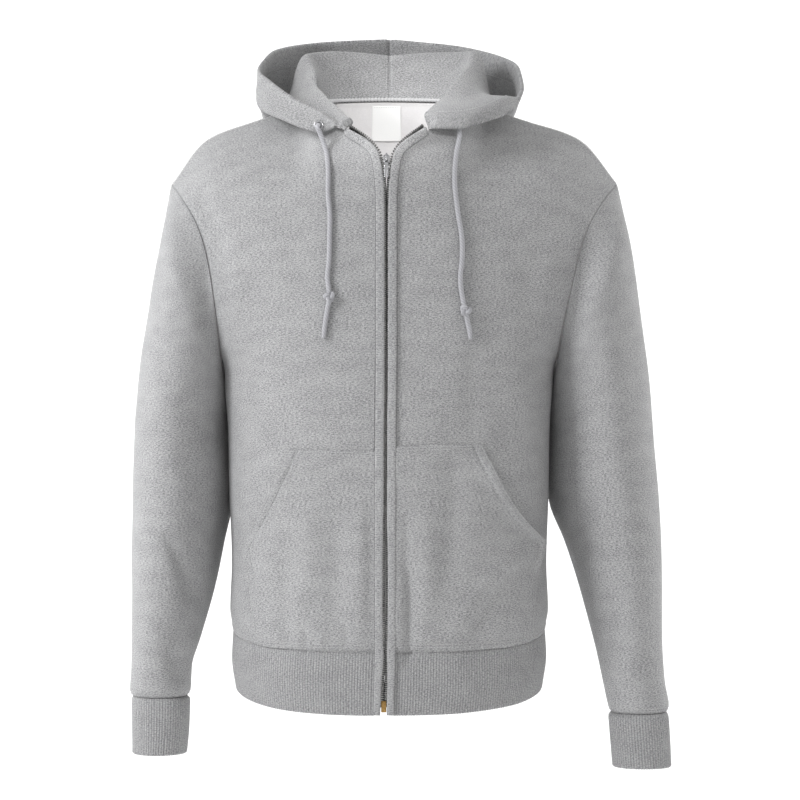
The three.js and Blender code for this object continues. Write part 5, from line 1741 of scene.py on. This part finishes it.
def ready_materials(colours):
    if MATERIALS:
        return
    light, dark = opaque(colours.marl_light), opaque(colours.marl_dark)
    pale = opaque(colours.lining)
    sewing = opaque(colours.stitching)
    metal = opaque(colours.metal)
    finish_material("fleece", marl_tint(light, dark, 1.45), bump=0.4, sheen=0.15)
    # The hood's fleece is the body's marl with painted shade: both yarn colours are darkened by the same
    # share
    finish_material("hood", marl_tint(shaded(light, HOOD_PAINTED_SHADE), shaded(dark, HOOD_PAINTED_SHADE), 1.35),
                    bump=0.4, sheen=0.15)
    finish_material("rib", marl_tint(light, dark, 1.25, ribbed=True), bump=0.5, sheen=0.2, lift=0.0006)
    finish_material("brushed inside", pile_tint(pale, shaded(pale, 0.86), 520.0),
                    bump=0.5, sheen=0.4, lift=0.0008)
    finish_material("label", twist_tint(colour(0xfdfdfc), colour(0xf0f0ee), 900.0, 0.2), bump=0.15,
                    lift=0.0002)
    finish_material("tape", twist_tint(colour(0x39393b), colour(0x1f1f21), 500.0, 0.4), bump=0.3, lift=0.0003)
    finish_material("cord", twist_tint(colour(0xc2c2c6), colour(0x8e8e92), 260.0, 0.7), bump=0.5, sheen=0.2,
                    lift=0.0004)
    finish_material("thread", twist_tint(sewing, shaded(sewing, 0.72), 700.0, 0.4),
                    bump=0.2, lift=0.0002)
    finish_material("nickel", wear_tint(metal, shaded(metal, 0.7)), bump=0.05, metal=1.0,
                    specular=0.5, lift=0.0001)
    finish_material("teeth", wear_tint(colour(0xc4c4c2), colour(0x4a4a4a)), bump=0.05, metal=1.0,
                    specular=0.5, lift=0.0001)
    finish_material("brass", wear_tint(colour(0xb08d57), colour(0x8a6f45)), bump=0.05, metal=1.0,
                    specular=0.5, lift=0.0001)


class HOODIE_OT_stage(bpy.types.Operator):
    """Make the camera, lights and backdrop"""
    bl_idname = "hoodie.stage"
    bl_label = "Stage"

    def execute(self, context):
        make_stage(context.scene.hoodie_stage)
        return {"FINISHED"}


class HOODIE_OT_cords(bpy.types.Operator):
    """Make the two drawcords with their knots"""
    bl_idname = "hoodie.cords"
    bl_label = "Drawcords"

    def execute(self, context):
        ready_materials(context.scene.hoodie_colours)
        for side_name, side in SIDES:
            make_cord(side_name, side)
        return {"FINISHED"}


class HOODIE_OT_panels(bpy.types.Operator):
    """Make the fronts, back and sleeves"""
    bl_idname = "hoodie.panels"
    bl_label = "Panels"

    def execute(self, context):
        ready_materials(context.scene.hoodie_colours)
        make_back()
        for side_name, side in SIDES:
            make_front(side_name, side)
            make_sleeve(side_name, side)
        return {"FINISHED"}


class HOODIE_OT_ribs(bpy.types.Operator):
    """Make the hem and cuffs"""
    bl_idname = "hoodie.ribs"
    bl_label = "Ribbed bands"

    def execute(self, context):
        ready_materials(context.scene.hoodie_colours)
        make_hem(context.scene.hoodie_sizes)
        for side_name, side in SIDES:
            make_cuff(side_name, side)
        return {"FINISHED"}


class HOODIE_OT_hood(bpy.types.Operator):
    """Make the hood with its neck seam and label"""
    bl_idname = "hoodie.hood"
    bl_label = "Hood"

    def execute(self, context):
        ready_materials(context.scene.hoodie_colours)
        for side_name, side in SIDES:
            make_hood(side_name, side)
        make_neck_roll()
        make_label()
        return {"FINISHED"}


class HOODIE_OT_pockets(bpy.types.Operator):
    """Make the pockets with their stitching"""
    bl_idname = "hoodie.pockets"
    bl_label = "Pockets"

    def execute(self, context):
        ready_materials(context.scene.hoodie_colours)
        for side_name, side in SIDES:
            make_pocket(side_name, side)
        sew_pockets(context.scene.hoodie_sizes)
        return {"FINISHED"}


class HOODIE_OT_zip(bpy.types.Operator):
    """Make the plackets, tapes and teeth and finish the hard pieces"""
    bl_idname = "hoodie.zip"
    bl_label = "Zip"

    def execute(self, context):
        ready_materials(context.scene.hoodie_colours)
        for side_name, side in SIDES:
            make_placket(side_name, side)
            make_teeth(side_name, side, context.scene.hoodie_sizes.tooth_pitch / MM)
        dress_hardware()
        return {"FINISHED"}


class HOODIE_OT_stitches(bpy.types.Operator):
    """Make the stitching on the panels, sleeves and hood"""
    bl_idname = "hoodie.stitches"
    bl_label = "Stitching"

    def execute(self, context):
        if f"pocket_{SIDES[0][0]}" not in SURFACES:
            raise RuntimeError("Make the panels, hood and pockets first")
        ready_materials(context.scene.hoodie_colours)
        sew_body(context.scene.hoodie_sizes)
        return {"FINISHED"}


OPERATORS = (HOODIE_OT_stage, HOODIE_OT_cords, HOODIE_OT_panels, HOODIE_OT_ribs, HOODIE_OT_hood,
             HOODIE_OT_pockets, HOODIE_OT_zip, HOODIE_OT_stitches)


class HOODIE_PT_panel(bpy.types.Panel):
    """Sizes, colours and operators of the hoodie"""
    bl_idname = "HOODIE_PT_panel"
    bl_label = "Hoodie"
    bl_space_type = "VIEW_3D"
    bl_region_type = "UI"
    bl_category = "Hoodie"

    def draw(self, context):
        scene = context.scene
        for settings in (scene.hoodie_sizes, scene.hoodie_colours, scene.hoodie_stage):
            box = self.layout.box()
            for name in settings.__annotations__:
                box.prop(settings, name)
        for operator in OPERATORS:
            self.layout.operator(operator.bl_idname)


CLASSES = (HoodieSizes, HoodieColours, HoodieStage, *OPERATORS, HOODIE_PT_panel)


def register():
    for cls in CLASSES:
        bpy.utils.register_class(cls)
    bpy.types.Scene.hoodie_sizes = bpy.props.PointerProperty(type=HoodieSizes)
    bpy.types.Scene.hoodie_colours = bpy.props.PointerProperty(type=HoodieColours)
    bpy.types.Scene.hoodie_stage = bpy.props.PointerProperty(type=HoodieStage)


def unregister():
    for name in ("hoodie_sizes", "hoodie_colours", "hoodie_stage"):
        delattr(bpy.types.Scene, name)
    for cls in reversed(CLASSES):
        bpy.utils.unregister_class(cls)


def main():
    register()
    for operator in OPERATORS:
        group_name, name = operator.bl_idname.split(".")
        if getattr(getattr(bpy.ops, group_name), name)() != {"FINISHED"}:
            raise RuntimeError(f"{operator.bl_label} did not finish")


if __name__ == "__main__":
    main()
